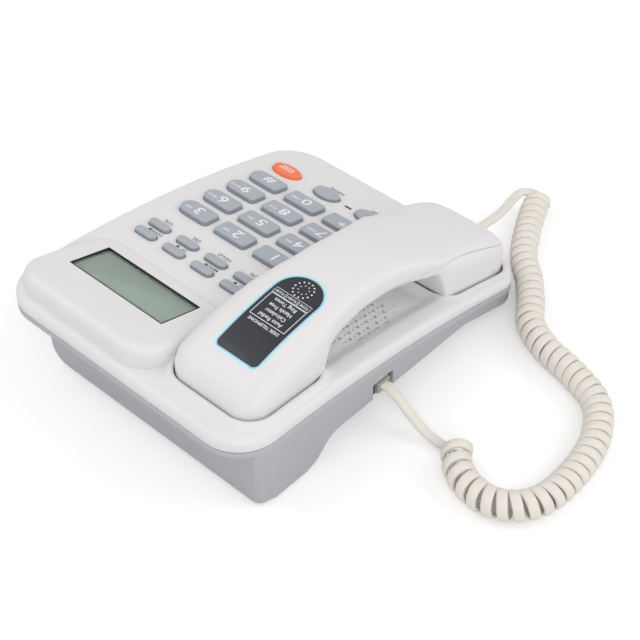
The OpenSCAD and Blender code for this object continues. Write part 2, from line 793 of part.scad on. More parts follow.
module cord_jack() color([0.1, 0.1, 0.11])
    translate([left_x + jack_set, cord_jack_y, cord_jack_z])
        socket(jack_w, plug_w + 2 * plug_gap, plug_h + 2 * plug_gap);

module line_jack() color([0.1, 0.1, 0.11])
    translate([tray_right_x - jack_set, line_jack_y, line_jack_z]) mirror([1, 0, 0])
        socket(line_jack_w, line_mouth_w, line_mouth_h);

// ---------- keys ----------

// Key standing on the deck: skirt through the hole, flange below the wall, bevelled top
module key(x, y, w, d, side, h) on_deck(x, y) {
    translate([0, 0, -key_skirt]) key_cap(w, d, side, key_skirt + h);
    translate([0, 0, -key_skirt]) linear_extrude(key_flange_t) key_plan(w, d, side, key_flange);
}

// Profile with its top corners cut by the bevel; cut0 and cut1 switch the two corners
function bevelled(x0, x1, h, cut0, cut1) = concat([[x0, 0], [x1, 0]],
    cut1 ? [[x1, h - key_bevel], [x1 - key_bevel, h]] : [[x1, h]],
    cut0 ? [[x0 + key_bevel, h], [x0, h - key_bevel]] : [[x0, h]]);

module key_cap(w, d, side, h)
    mirror([side == 1 ? 1 : 0, 0, 0]) {
        x0 = -w / 2 + (side == 0 ? 0 : d / 2);
        x1 = w / 2 - (side == 2 ? d / 2 : 0);
        intersection() {
            rotate([90, 0, 0]) linear_extrude(2 * d, center = true)
                polygon(bevelled(x0, x1, h, side == 0, side != 2));
            rotate([90, 0, 90]) linear_extrude(2 * w, center = true)
                polygon(bevelled(-d / 2, d / 2, h, true, true));
            linear_extrude(h) key_plan(w, d, side == 1 ? -1 : side);
        }
        if (side != 0) translate([x0, 0, 0]) key_end(d / 2, h);
        if (side == 2) translate([x1, 0, 0]) key_end(d / 2, h);
    }

module key_end(r, h) {
    cylinder(r = r, h = h - key_bevel);
    translate([0, 0, h - key_bevel]) cylinder(r1 = r, r2 = r - key_bevel, h = key_bevel);
}

module number_key(i, j) color(key_grey) key(column_x[i], row_y[j], key_w, key_d, i - 1, key_h);
module pill_key(i, j) color(key_grey) key(pills_x[i], pill_rows[j], pill_w, pill_d, 2, pill_h);
module oval_key(i, tint) color(tint) key(ovals_x[i], oval_y, oval_w, oval_d, 2, key_h);

// ---------- handset ----------

function station_ring(s, g) = let (
    y = along(s[0]), sole = seat_z(y) + s[3] + g, crown = seat_z(y) + s[2] - g,
    half = s[1] * handset_w / 2 - g,
    mid = (sole + crown) / 2, rise = (crown - sole) / 2)
    [for (k = [0 : handset_sides - 1]) let (a = 360 * (k + 0.5) / handset_sides, c = cos(a), q = sin(a))
        [handset_x + half * sign(c) * pow(abs(c), 2 / handset_power), y,
         mid + rise * sign(q) * pow(abs(q), 2 / handset_power)]];

module handset_solid() tube([for (s = handset_stations) station_ring(s, 0)]);
module handset_hollow() tube([for (i = [2 : len(handset_stations) - 4])
    station_ring(handset_stations[i], handset_wall)]);

module below_seam()
    side_prism(concat([for (p = handset_seam) [along(p[0]), seat_z(along(p[0])) + p[1]]],
        [[front_y, -pad_h], [rear_y, -pad_h]]), handset_x - handset_w, handset_x + handset_w);

module jack_bay(g)
    translate([handset_x - handset_jack_w / 2 - g, handset_front_y - 1, handset_jack_z - jack_h / 2 - g])
        cube([handset_jack_w + 2 * g, jack_l + 4, jack_h + 2 * g]);

// Stretches of the two bosses that a handset screw pulls together, and the screw's bore
module boss_at(p, z0, z1, d) translate([handset_x, p[0], seat_z(p[0]) + z0]) cylinder(d = d, h = z1 - z0);
module upper_bosses() intersection() {
    handset_solid();
    for (p = handset_screws_at) boss_at(p, p[1], tall / 2, handset_boss_d);
}
module lower_bosses() intersection() {
    handset_solid();
    for (p = handset_screws_at) boss_at(p, 0, p[1], handset_boss_d);
}
screw_head_seat = handset_wall + 1.2;

module handset_back() color(white) difference() {
    union() {
        difference() {
            handset_solid();
            handset_hollow();
            below_seam();
        }
        upper_bosses();
    }
    for (p = handset_screws_at) boss_at(p, p[1] - 1, p[1] + handset_screw_grip + 0.4, handset_screw_d);
    jack_bay(0.1);
}

module handset_front() color(white) difference() {
    union() {
        difference() {
            intersection() {
                handset_solid();
                below_seam();
            }
            handset_hollow();
        }
        lower_bosses();
    }
    for (p = handset_screws_at) {
        boss_at(p, -1, p[1] + 1, handset_screw_d + 0.4);
        boss_at(p, -1, screw_head_seat, handset_head_d + 0.6);
    }
    jack_bay(0.1);
    // sound holes of the receiver and the microphone
    for (a = [0 : 60 : 300]) rotate_about([handset_x, receiver_y], a)
        translate([handset_x + 5, receiver_y, ear_sole_z - 1]) cylinder(d = 2, h = 6, $fn = 16);
    translate([handset_x, receiver_y, ear_sole_z - 1]) cylinder(d = 2, h = 6, $fn = 16);
    translate([handset_x, mic_y, 0]) cylinder(d = 1.8, h = 30, $fn = 16);
}

module rotate_about(p, a) translate([p[0], p[1], 0]) rotate(a) translate([-p[0], -p[1], 0]) children();

module receiver_capsule() color([0.2, 0.2, 0.22])
    translate([handset_x, receiver_y, ear_sole_z + handset_wall + receiver_seat]) {
        cylinder(d = receiver_d, h = capsule_h);
        cylinder(d = receiver_d * 0.6, h = capsule_magnet_h);
    }

module microphone() color([0.7, 0.7, 0.72])
    translate([handset_x, mic_y, mouth_sole_z(mic_y)]) rotate([deck_slope(mic_y), 0, 0])
        translate([0, 0, handset_wall + 0.1]) cylinder(d = mic_d, h = mic_h);

module handset_weight() color([0.55, 0.55, 0.57])
    translate([handset_x - weight_size[0] / 2, weight_y - weight_size[1] / 2, weight_z])
        rotate([weight_tilt, 0, 0]) cube(weight_size);

module handset_jack() color([0.85, 0.85, 0.86])
    translate([handset_x, handset_front_y + jack_set, handset_jack_z]) rotate([0, 0, 90])
        socket(handset_jack_w, plug_w + 2 * plug_gap, plug_h + 2 * plug_gap);

module handset_screws() color([0.75, 0.75, 0.77])
    for (p = handset_screws_at) {
        boss_at(p, screw_head_seat, p[1] + handset_screw_grip, handset_screw_d);
        boss_at(p, screw_head_seat - handset_head_h, screw_head_seat, handset_head_d);
    }

// ---------- cord ----------

module plug() {
    translate([0, -plug_w / 2, -plug_h / 2]) cube([plug_l, plug_w, plug_h]);
}

module base_plug() color([0.9, 0.9, 0.88, 0.7])
    translate([left_x, cord_jack_y, cord_jack_z]) plug();

module handset_plug() color([0.9, 0.9, 0.88, 0.7])
    translate([handset_x, handset_front_y - jack_set, handset_jack_z]) rotate([0, 0, 90]) plug();

module base_lead_cord() color(cord_white) tube(swept(base_lead, cord_w, cord_t, cord_sides));
module coil_cord() color(cord_white) tube(swept(coil_route, coil_d, coil_d, coil_sides));
module handset_lead_cord() color(cord_white) tube(swept(handset_lead, cord_w, cord_t, cord_sides));

top_case();
bottom_case();
rubber_feet();
case_screws();
lcd_lens();
lcd_panel();
lcd_board();
keypad_board();
key_mat();
main_board();
ribbon_cable();
led_lens();
loudspeaker();
hook_switch();
hook_plunger();
cord_jack();
line_jack();
number_key(0, 0);  // key_1
number_key(1, 0);  // key_2
number_key(2, 0);  // key_3
number_key(0, 1);  // key_4
number_key(1, 1);  // key_5
number_key(2, 1);  // key_6
number_key(0, 2);  // key_7
number_key(1, 2);  // key_8
number_key(2, 2);  // key_9
number_key(0, 3);  // key_star
number_key(1, 3);  // key_0
number_key(2, 3);  // key_hash
pill_key(0, 0);  // volume_key
pill_key(1, 0);  // delete_key
pill_key(2, 0);  // hold_key
pill_key(3, 0);  // calc_key
pill_key(0, 1);  // down_key
pill_key(1, 1);  // up_key
pill_key(2, 1);  // menu_key
pill_key(3, 1);  // out_key
oval_key(0, [0.98, 0.43, 0.24]);  // speaker_key
oval_key(1, key_grey);  // redial_key
oval_key(2, key_grey);  // flash_key
handset_back();
handset_front();
receiver_capsule();
microphone();
handset_weight();
handset_jack();
handset_screws();
base_plug();
base_lead_cord();
coil_cord();
handset_lead_cord();
handset_plug();
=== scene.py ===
"""Corded desk telephone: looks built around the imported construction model.

Lengths are written in millimetres and turned into metres by MM where Blender needs them.
+Y is the display end, -Y the user's end, -X the handset side, and z = 0 is the table.
"""
import json
import math
from contextlib import contextmanager

import bmesh
import bpy
from mathutils import Matrix, Vector


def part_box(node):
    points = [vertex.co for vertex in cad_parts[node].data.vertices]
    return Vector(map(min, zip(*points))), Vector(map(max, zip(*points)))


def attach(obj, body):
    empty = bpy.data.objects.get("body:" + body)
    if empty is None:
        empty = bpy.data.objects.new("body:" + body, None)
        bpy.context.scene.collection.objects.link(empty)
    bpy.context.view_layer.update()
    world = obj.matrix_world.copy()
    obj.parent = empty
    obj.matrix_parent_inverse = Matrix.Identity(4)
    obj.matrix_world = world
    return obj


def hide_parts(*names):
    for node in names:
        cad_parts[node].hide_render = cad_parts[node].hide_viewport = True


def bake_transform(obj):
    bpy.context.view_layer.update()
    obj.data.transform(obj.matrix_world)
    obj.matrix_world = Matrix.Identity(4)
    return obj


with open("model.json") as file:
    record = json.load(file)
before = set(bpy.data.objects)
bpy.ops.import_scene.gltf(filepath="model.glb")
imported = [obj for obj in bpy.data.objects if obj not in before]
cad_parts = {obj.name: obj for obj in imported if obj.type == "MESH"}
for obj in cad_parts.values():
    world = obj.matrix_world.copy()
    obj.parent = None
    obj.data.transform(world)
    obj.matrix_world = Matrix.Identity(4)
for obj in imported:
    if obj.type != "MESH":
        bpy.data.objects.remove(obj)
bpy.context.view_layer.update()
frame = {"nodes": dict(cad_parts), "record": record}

MM = 0.001
TINY = 0.01  # two places closer than this are one place
OVER = 2.0  # how far a cutting piece reaches past what it cuts
UP = Vector((0, 0, 1))

# ------------------ sizes of the base, in millimetres

BODY_W, BODY_L, CORNER_R, EDGE_R, FOOT_R, WALL = 151.0, 193.0, 20.0, 3.4, 0.45, 2.2
FRONT_Y, REAR_Y, LEFT_X, RIGHT_X = -BODY_L / 2, BODY_L / 2, -BODY_W / 2, BODY_W / 2
# Arcs of the deck and of the parting line: where each one crests, and its radius
DECK_CREST_Y, DECK_CREST_Z, DECK_R = 89.7, 42.3, 612.0
SEAM_CREST_Y, SEAM_CREST_Z, SEAM_R = 94.0, 36.2, 680.0

BLOCK_X0, BLOCK_X1, BLOCK_Y0, BLOCK_Y1 = -16.2, 70.8, 36.0, 92.4
BLOCK_R, BLOCK_EDGE = 16.0, 5.0
BLOCK_HINGE_Y, BLOCK_TILT = 38.0, math.radians(14.7)

# Handset cups: from the outer end to the inner end along y
HANDSET_X, HANDSET_W = -43.0, 50.0
EAR_Y0, EAR_Y1 = 37.0, 83.0
MOUTH_Y0, MOUTH_Y1 = -92.0, -42.5
CUP_R, CUP_INNER_R, CUP_GAP, CUP_DEPTH, SEAT_GAP = 11.0, 9.0, 0.8, 4.2, 0.3


def arc_height(y, crest_y, crest_z, radius):
    return crest_z - radius + math.sqrt(radius ** 2 - (crest_y - y) ** 2)


def deck_z(y):
    return arc_height(y, DECK_CREST_Y, DECK_CREST_Z, DECK_R)


def seam_z(y):
    return arc_height(y, SEAM_CREST_Y, SEAM_CREST_Z, SEAM_R)


def deck_slope(y):
    return math.asin((DECK_CREST_Y - y) / DECK_R)


def block_z(y):
    """Height of the display block's tilted face."""
    return deck_z(BLOCK_HINGE_Y) + (y - BLOCK_HINGE_Y) * math.tan(BLOCK_TILT)


EAR_SOLE_Z = deck_z(60) - CUP_DEPTH

# ------------------ camera

CAMERA_AT = (-0.3582, 0.3593, 0.4836)
CAMERA_HEADING, CAMERA_DIP = math.radians(42.44), math.radians(43.59)
CAMERA_LENS, CAMERA_CLIP = 83.76, (0.05, 20)


def placed(name, data):
    """New object at the origin, linked to the scene."""
    obj = bpy.data.objects.new(name, data)
    bpy.context.scene.collection.objects.link(obj)
    return obj


camera = placed("camera", bpy.data.cameras.new("camera"))
camera.data.lens = CAMERA_LENS
camera.data.clip_start, camera.data.clip_end = CAMERA_CLIP
camera.location = CAMERA_AT
aim = Vector((math.sin(CAMERA_HEADING) * math.cos(CAMERA_DIP),
              -math.cos(CAMERA_HEADING) * math.cos(CAMERA_DIP), -math.sin(CAMERA_DIP)))
camera.rotation_euler = aim.to_track_quat("-Z", "Y").to_euler()
bpy.context.scene.camera = camera
bpy.context.scene.view_settings.view_transform = "Standard"

# ------------------ materials

# Scale and detail of each noise: clouding of the colour, smears in the gloss, pits in the surface
CLOUD, SMEAR, PIT_DETAIL = (38, 5), (120, 4), 3
PIT_DEPTH = 0.0002  # metres
PLASTIC_IOR, SMOOTHEST = 1.46, 0.02


def shader_colour(colour):
    """Colour as seen on screen, 0 to 255, turned into the shader's own scale."""
    return [c / 12.92 if c <= 0.04045 else ((c + 0.055) / 1.055) ** 2.4
            for c in (value / 255 for value in colour)]


def finish(name, colour, rough, grain=0.0, grain_scale=900.0, mottle=0.03, coat=0.0,
           rough_spread=0.06, metallic=0.0, transmission=0.0):
    """Moulded finish in a colour from 0 to 255, faintly mottled, with uneven gloss and a fine grain."""
    mat = bpy.data.materials.new(name)
    mat.use_nodes = True
    nodes, links = mat.node_tree.nodes, mat.node_tree.links
    shader = nodes["Principled BSDF"]
    place = nodes.new("ShaderNodeTexCoord")

    def noise(scale, detail):
        node = nodes.new("ShaderNodeTexNoise")
        node.inputs["Scale"].default_value = scale
        node.inputs["Detail"].default_value = detail
        links.new(place.outputs["Object"], node.inputs["Vector"])
        return node.outputs["Fac"]

    def ranged(value, low, high):
        node = nodes.new("ShaderNodeMapRange")
        node.inputs["To Min"].default_value = low
        node.inputs["To Max"].default_value = high
        links.new(value, node.inputs["Value"])
        return node.outputs["Result"]

    shade = nodes.new("ShaderNodeVectorMath")
    shade.operation = "SCALE"
    shade.inputs[0].default_value = shader_colour(colour)
    links.new(ranged(noise(*CLOUD), 1 - mottle, 1 + mottle), shade.inputs["Scale"])
    links.new(shade.outputs["Vector"], shader.inputs["Base Color"])
    gloss = ranged(noise(*SMEAR), max(rough - rough_spread, SMOOTHEST), min(rough + rough_spread, 1))
    links.new(gloss, shader.inputs["Roughness"])
    if grain > 0:
        bump = nodes.new("ShaderNodeBump")
        bump.inputs["Strength"].default_value = grain
        bump.inputs["Distance"].default_value = PIT_DEPTH
        links.new(noise(grain_scale, PIT_DETAIL), bump.inputs["Height"])
        links.new(bump.outputs["Normal"], shader.inputs["Normal"])
    for socket, value in (("Metallic", metallic), ("IOR", PLASTIC_IOR), ("Coat Weight", coat),
                          ("Transmission Weight", transmission)):
        shader.inputs[socket].default_value = value
    return mat


SHELL = finish("moulded_white", (232, 230, 231), 0.42, grain=0.08, mottle=0.008)
BASE_GREY = finish("textured_grey", (186, 187, 192), 0.55, grain=0.22, grain_scale=1400,
                   mottle=0.02)
KEY_GREY = finish("key_blue_grey", (175, 180, 188), 0.45, grain=0.08, mottle=0.015)
# Darker grey painted on the sides of the grey keys as shade
KEY_SIDE_SHADE = finish("key_side_painted_shade", (146, 150, 158), 0.5, grain=0.08, mottle=0.015)
KEY_ORANGE = finish("key_orange", (255, 128, 80), 0.38, grain=0.05, mottle=0.02)
PRINT_WHITE = finish("print_white", (240, 243, 246), 0.5, mottle=0.01)
PRINT_GREY = finish("print_dark_grey", (92, 92, 98), 0.55, mottle=0.04)
LCD_FACE = finish("display_grey_green", (190, 203, 194), 0.32, grain=0.03, grain_scale=2600,
                  mottle=0.02)
LENS = finish("display_window", (240, 246, 240), 0.05, rough_spread=0.02, transmission=1.0,
              mottle=0.0)
LAMP = finish("lamp_dark_red", (126, 34, 40), 0.2, coat=0.4)
DARK = finish("dark_plastic", (38, 38, 41), 0.5, grain=0.15)
BOARD = finish("solder_mask_green", (38, 98, 62), 0.35, grain=0.1, coat=0.3, mottle=0.1)
SILICONE = finish("silicone_grey", (190, 190, 194), 0.6, grain=0.05)
RIBBON = finish("ribbon_grey", (176, 178, 182), 0.4, grain=0.05)
RUBBER = finish("foot_rubber", (48, 48, 50), 0.8, grain=0.4, grain_scale=1800)
STEEL = finish("plated_steel", (196, 198, 200), 0.28, metallic=1.0, grain=0.05)
PLUG_CLEAR = finish("plug_milky_clear", (233, 230, 222), 0.18, transmission=0.55,
                    mottle=0.02)
CORD = finish("cord_cream", (233, 228, 218), 0.42, grain=0.06, mottle=0.02)
PANEL_DARK = finish("panel_gloss_black", (46, 48, 53), 0.34, coat=0.1, mottle=0.05)
PANEL_HALO = finish("panel_halo_pale", (214, 232, 240), 0.3, mottle=0.02)
PANEL_EDGE = finish("panel_edge_blue", (158, 214, 236), 0.25, mottle=0.02)

# ------------------ modelling helpers

PLAIN_HALF = 100.0  # half the height of a block before its top and bottom are curved
PLAN_STEP = 3.2  # spacing of the cuts that let a block follow its curves
CORNER_STEPS, EDGE_STEPS, FOOT_STEPS, SOFT_STEPS, SOFT_ANGLE = 12, 6, 2, 2, 35
# Faces that meet at a smaller angle than this, in degrees, are shaded as one surface
SHELL_CREASE, PART_CREASE, KEY_CREASE, CORD_CREASE = 30, 32, 40, 60
FLAT = math.radians(0.4)  # faces that turn less than this are one face


def pick(obj):
    bpy.ops.object.select_all(action="DESELECT")
    obj.select_set(True)
    bpy.context.view_layer.objects.active = obj


@contextmanager
def edit_mode(obj):
    """Edit mode on one piece alone, with all of its mesh selected at the start."""
    pick(obj)
    bpy.ops.object.mode_set(mode="EDIT")
    bpy.ops.mesh.select_all(action="SELECT")
    yield
    bpy.ops.object.mode_set(mode="OBJECT")


def smooth(obj, crease):
    pick(obj)
    bpy.ops.object.shade_smooth_by_angle(angle=math.radians(crease))


def paint(obj, mat):
    obj.data.materials.clear()
    obj.data.materials.append(mat)


def enrol(obj, mat, body, node=None, crease=None):
    """Gives a new piece its finish and its body, and hides the CAD node that it stands for."""
    if crease:
        smooth(obj, crease)
    paint(obj, mat)
    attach(obj, body)
    if node:
        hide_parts(node)


def settle(obj, matrix):
    """Bakes a placing matrix into the mesh, so that the object stays at the origin."""
    obj.data.transform(matrix)
    obj.data.update()
    return obj


def bevel_edges(obj, width, steps, wanted):
    """In edit mode, rounds the edges for which wanted(edge) is true."""
    bm = bmesh.from_edit_mesh(obj.data)
    for element in list(bm.faces) + list(bm.edges) + list(bm.verts):
        element.select = False
    bm.select_mode = {"EDGE"}
    for edge in bm.edges:
        if wanted(edge):
            edge.select_set(True)
    bmesh.update_edit_mesh(obj.data)
    bpy.ops.mesh.bevel(offset=width * MM, segments=steps, affect="EDGES", clamp_overlap=False)


def primitive(name, add, **settings):
    """Adds a primitive by its operator while nothing else is selected."""
    bpy.ops.object.select_all(action="DESELECT")
    add(**settings)
    obj = bpy.context.object
    obj.name = name
    return obj


def block_of(name, x0, x1, y0, y1, z0, z1):
    """Cube primitive between two corners, with its place in its mesh."""
    middle = Vector(((x0 + x1) / 2, (y0 + y1) / 2, (z0 + z1) / 2)) * MM
    obj = primitive(name, bpy.ops.mesh.primitive_cube_add, size=1, location=middle)
    obj.scale = ((x1 - x0) * MM, (y1 - y0) * MM, (z1 - z0) * MM)
    bpy.ops.object.transform_apply(location=True, rotation=True, scale=True)
    return obj


def sliced(obj, axis, low, high, count):
    """Cuts a mesh by evenly spaced planes across an axis, so that it can bend there."""
    with edit_mode(obj):
        for i in range(1, count):
            at, normal = [0, 0, 0], [0, 0, 0]
            at[axis], normal[axis] = (low + (high - low) * i / count) * MM, 1
            bpy.ops.mesh.select_all(action="SELECT")
            bpy.ops.mesh.bisect(plane_co=at, plane_no=normal)
    return obj


def cross_sliced(obj, ranges, step, shortest=0.0):
    """Cuts a mesh across x and across y about every step, each way that is long enough."""
    for axis, (low, high) in enumerate(ranges):
        if high - low > shortest:
            sliced(obj, axis, low, high, max(int((high - low) / step), 1))
    return obj


def plan_solid(name, x0, x1, y0, y1, corner, top, bottom, edge=0.0, foot=0.0):
    """Rounded rectangle in plan whose top and bottom follow two functions of y.

    edge rounds its top edge, and foot its bottom edge, while the block is still plain.
    """
    obj = block_of(name, x0, x1, y0, y1, -PLAIN_HALF, PLAIN_HALF)
    level = (PLAIN_HALF - TINY) * MM
    with edit_mode(obj):
        bevel_edges(obj, corner, CORNER_STEPS,
                    lambda e: abs(e.verts[0].co.z - e.verts[1].co.z) > MM)
        for width, steps, sign in ((edge, EDGE_STEPS, 1), (foot, FOOT_STEPS, -1)):
            if width > 0:
                bevel_edges(obj, width, steps,
                            lambda e: all(v.co.z * sign > level for v in e.verts))
    cross_sliced(obj, ((x0, x1), (y0, y1)), PLAN_STEP)
    for v in obj.data.vertices:
        y, z = v.co.y / MM, v.co.z / MM
        v.co.z = (top(y) + z - PLAIN_HALF if z > 0 else bottom(y) + z + PLAIN_HALF) * MM
    return obj


def body_solid(name, inset, top, bottom, **rounding):
    """The whole case in plan, drawn in by inset."""
    return plan_solid(name, LEFT_X + inset, RIGHT_X - inset, FRONT_Y + inset, REAR_Y - inset,
                      CORNER_R - inset, top, bottom, **rounding)


def block_solid(name, inset, bottom, **rounding):
    """The display block, drawn in by inset from its sides and its face."""
    return plan_solid(name, BLOCK_X0 + inset, BLOCK_X1 - inset, BLOCK_Y0 + inset,
                      BLOCK_Y1 - inset, BLOCK_R - inset, lambda y: block_z(y) - inset, bottom,
                      **rounding)


def combine(target, tool, operation):
    """Boolean of target with tool, applied; the tool is removed."""
    pick(target)
    mod = target.modifiers.new(operation.lower(), "BOOLEAN")
    mod.operation = operation
    mod.solver = "MANIFOLD"
    mod.object = tool
    bpy.ops.object.modifier_apply(modifier=mod.name)
    bpy.data.objects.remove(tool)
    return target


def joined(name, objects):
    bpy.ops.object.select_all(action="DESELECT")
    for obj in objects:
        obj.select_set(True)
    bpy.context.view_layer.objects.active = objects[0]
    bpy.ops.object.join()
    objects[0].name = name
    return objects[0]


def refined(node, name, width, shaping=None):
    """Copy of a CAD node with merged faces and rounded edges, in the node's place.

    shaping(copy), where it is given, cuts its finer details first.
    """
    obj = placed(name, frame["nodes"][node].data.copy())
    with edit_mode(obj):
        bpy.ops.mesh.remove_doubles(threshold=TINY * MM)
    if shaping:
        shaping(obj)
    with edit_mode(obj):
        bpy.ops.mesh.dissolve_limited(angle_limit=FLAT)
    mod = obj.modifiers.new("soft_edges", "BEVEL")
    mod.width = width * MM
    mod.segments = SOFT_STEPS
    mod.limit_method = "ANGLE"
    mod.angle_limit = math.radians(SOFT_ANGLE)
    bpy.ops.object.modifier_apply(modifier=mod.name)
    return obj


def on_deck(x, y, lift=0.0):
    """Matrix that stands a piece on the deck at x, y with +Z along its normal."""
    return (Matrix.Translation(Vector((x, y, deck_z(y))) * MM)
            @ Matrix.Rotation(deck_slope(y), 4, "X") @ Matrix.Translation(UP * lift * MM))


def on_block(x, y):
    """Matrix that stands a piece on the display block's tilted face."""
    return Matrix.Translation(Vector((x, y, block_z(y))) * MM) @ Matrix.Rotation(BLOCK_TILT, 4, "X")


# ------------------ cord, made first

CORD_W, CORD_T, CORD_SIDES = 4.8, 2.4, 12
CORD_POWERS = (0.55, 0.8)  # how square its section is across and through
COIL_D, COIL_PITCH, TURN_STEPS = 14.0, 5.3, 20
COIL_RADIUS = (COIL_D - CORD_T) / 2 - 0.2  # from the route to the cord's middle
# The first turns stand apart: share added to the pitch, and the run over which it fades
COIL_OPENING, COIL_FADE = 0.5, 14
ROUTE_STEP, LEAD_STEP, LEAP_STEP, SPLINE_STEPS = 0.5, 2.0, 1.2, 24
BASE_LEAD = [(-75.5, 9, 17), (-79, 9, 16.6), (-84, 9, 14.6), (-89, 9, 11), (-95, 8.8, 6.6),
             (-101, 8.6, 3.6), (-107, 8.2, 2.4), (-112, 8, 2.6)]
COIL_ROUTE = [(-116, 7.4, 7), (-122, 15.5, 7), (-132, 21.5, 7), (-145, 22.5, 7), (-156, 15.5, 7),
              (-161.5, 2, 7), (-161, -20, 7), (-156, -38, 7), (-145, -53, 7), (-128, -60.5, 7),
              (-108, -66, 7), (-94, -74, 7), (-86, -85, 7), (-76, -97.5, 7), (-64, -109, 7),
              (-54.5, -124, 7), (-46, -141, 7), (-43.5, -148, 7)]
HANDSET_LEAD = [(-38, -149, 10.4), (-35.5, -144, 11.6), (-36.6, -136, 13), (-40, -124, 15.6),
                (-42.4, -113, 18.4), (-43, -103, 20), (-43, -94.3, 20)]
COIL_SPLIT = 13  # point of the route where the cord's second stretch begins


def signed_power(value, power):
    return math.copysign(abs(value) ** power, value)


def spline_points(points, spacing):
    """Points spaced evenly along a smooth curve through the given ones."""
    pts = [Vector(p) for p in points]
    pts = [pts[0] * 2 - pts[1]] + pts + [pts[-1] * 2 - pts[-2]]
    fine = []
    for p0, p1, p2, p3 in zip(pts, pts[1:], pts[2:], pts[3:]):
        for k in range(SPLINE_STEPS):
            t = k / SPLINE_STEPS
            fine.append(0.5 * (2 * p1 + (p2 - p0) * t + (2 * p0 - 5 * p1 + 4 * p2 - p3) * t ** 2
                               + (3 * p1 - p0 - 3 * p2 + p3) * t ** 3))
    fine.append(pts[-2])
    run = [0.0]
    for a, b in zip(fine, fine[1:]):
        run.append(run[-1] + (b - a).length)
    count = max(int(round(run[-1] / spacing)), 2)
    out, j = [], 0
    for i in range(count + 1):
        target = run[-1] * i / count
        while j < len(run) - 2 and run[j + 1] < target:
            j += 1
        span = run[j + 1] - run[j]
        out.append(fine[j].lerp(fine[j + 1], (target - run[j]) / span if span else 0))
    return out


def tangent(points, i):
    return (points[min(i + 1, len(points) - 1)] - points[max(i - 1, 0)]).normalized()


def helix(route, angle, opening=0.0):
    """Centreline of a curly cord wound along a route, its outward directions and its last angle."""
    axis = spline_points(route, ROUTE_STEP)
    points, outward = [], []
    travelled = 0.0
    while travelled < len(axis) - 1 - TINY / 10:
        i = int(travelled)
        along = tangent(axis, i)
        side = UP.cross(along).normalized()
        out = side * math.cos(angle) + along.cross(side) * math.sin(angle)
        points.append(axis[i].lerp(axis[i + 1], travelled - i) + out * COIL_RADIUS)
        outward.append(out)
        pitch = COIL_PITCH * (1 + opening * math.exp(-travelled * ROUTE_STEP / COIL_FADE))
        angle += 2 * math.pi / TURN_STEPS
        travelled += pitch / TURN_STEPS / ROUTE_STEP
    return points, outward, angle


def ribbon(name, points, outward):
    """Flat cord with rounded edges: its thin way along outward, capped at both ends."""
    verts, faces = [], []
    for i, p in enumerate(points):
        along = tangent(points, i)
        n = (outward[i] - along * outward[i].dot(along)).normalized()
        w = along.cross(n)
        for k in range(CORD_SIDES):
            a = 2 * math.pi * (k + 0.5) / CORD_SIDES
            across = signed_power(math.cos(a), CORD_POWERS[0]) * CORD_W / 2
            through = signed_power(math.sin(a), CORD_POWERS[1]) * CORD_T / 2
            verts.append((p + w * across + n * through) * MM)
    for low in range(0, len(verts) - CORD_SIDES, CORD_SIDES):
        for k in range(CORD_SIDES):
            a, b = low + k, low + (k + 1) % CORD_SIDES
            faces.append((a, b, b + CORD_SIDES, a + CORD_SIDES))
    faces.append(tuple(reversed(range(CORD_SIDES))))
    faces.append(tuple(range(len(verts) - CORD_SIDES, len(verts))))
    mesh = bpy.data.meshes.new(name)
    mesh.from_pydata(verts, [], faces)
    obj = placed(name, mesh)
    with edit_mode(obj):
        bpy.ops.mesh.normals_make_consistent(inside=False)
    smooth(obj, CORD_CREASE)
    paint(obj, CORD)
    return obj


def leap(start, leaving, end, arriving):
    """Points strictly between two ends, on a curve that keeps their directions."""
    span = (end - start).length
    count = max(int(span / LEAP_STEP), 4)
    out = []
    for i in range(1, count):
        t = i / count
        out.append(start * (1 - t) ** 2 * (1 + 2 * t) + leaving * (span * t * (1 - t) ** 2)
                   + end * t * t * (3 - 2 * t) - arriving * (span * t * t * (1 - t)))
    return out


def heading(points, i):
    return (points[i + 1] - points[i]).normalized()


def blend_directions(first, last, count):
    return [first.lerp(last, i / max(count - 1, 1)).normalized() for i in range(count)]


def lay_cord(name, points, outward, nodes):
    cord = ribbon(name, points, outward)
    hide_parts(*nodes)
    return cord


def cords():
    """Lead and coil from the socket in the base, then the last turns and the lead to the handset."""
    lead = spline_points(BASE_LEAD, LEAD_STEP)
    coil, out, angle = helix(COIL_ROUTE[:COIL_SPLIT + 1], math.radians(-90), COIL_OPENING)
    join = leap(lead[-1], heading(lead, -2), coil[0], heading(coil, 0))
    turning = blend_directions(UP, out[0], len(join))
    base_side = lay_cord("curly_cord", lead + join + coil, [UP] * len(lead) + turning + out,
                         ("base_lead_cord", "coil_cord"))
    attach(base_side, "base")
    coil, out, angle = helix(COIL_ROUTE[COIL_SPLIT:], angle)
    lead = spline_points(HANDSET_LEAD, LEAD_STEP)
    join = leap(coil[-1], heading(coil, -2), lead[0], heading(lead, 0))
    turning = blend_directions(out[-1], UP, len(join))
    hand_side = lay_cord("curly_cord_end", coil + join + lead, out + turning + [UP] * len(lead),
                         ("handset_lead_cord",))
    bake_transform(hand_side)


cords()

# ------------------ outlines and cutters

DECK_CUTS, OUTLINE_STEP = 16, 2.5  # cuts across a piece that follows the deck, and along its rim


def circle_primitive(name, outline, z0):
    """Filled circle primitive with its rim moved onto an outline."""
    obj = primitive(name, bpy.ops.mesh.primitive_circle_add, vertices=len(outline), radius=MM,
                    fill_type="NGON", calc_uvs=False)
    for v, (x, y) in zip(obj.data.vertices, outline):
        v.co = (x * MM, y * MM, z0 * MM)
    return obj


def extents(outline):
    """Range of an outline along x and along y."""
    return [(min(values), max(values)) for values in zip(*outline)]


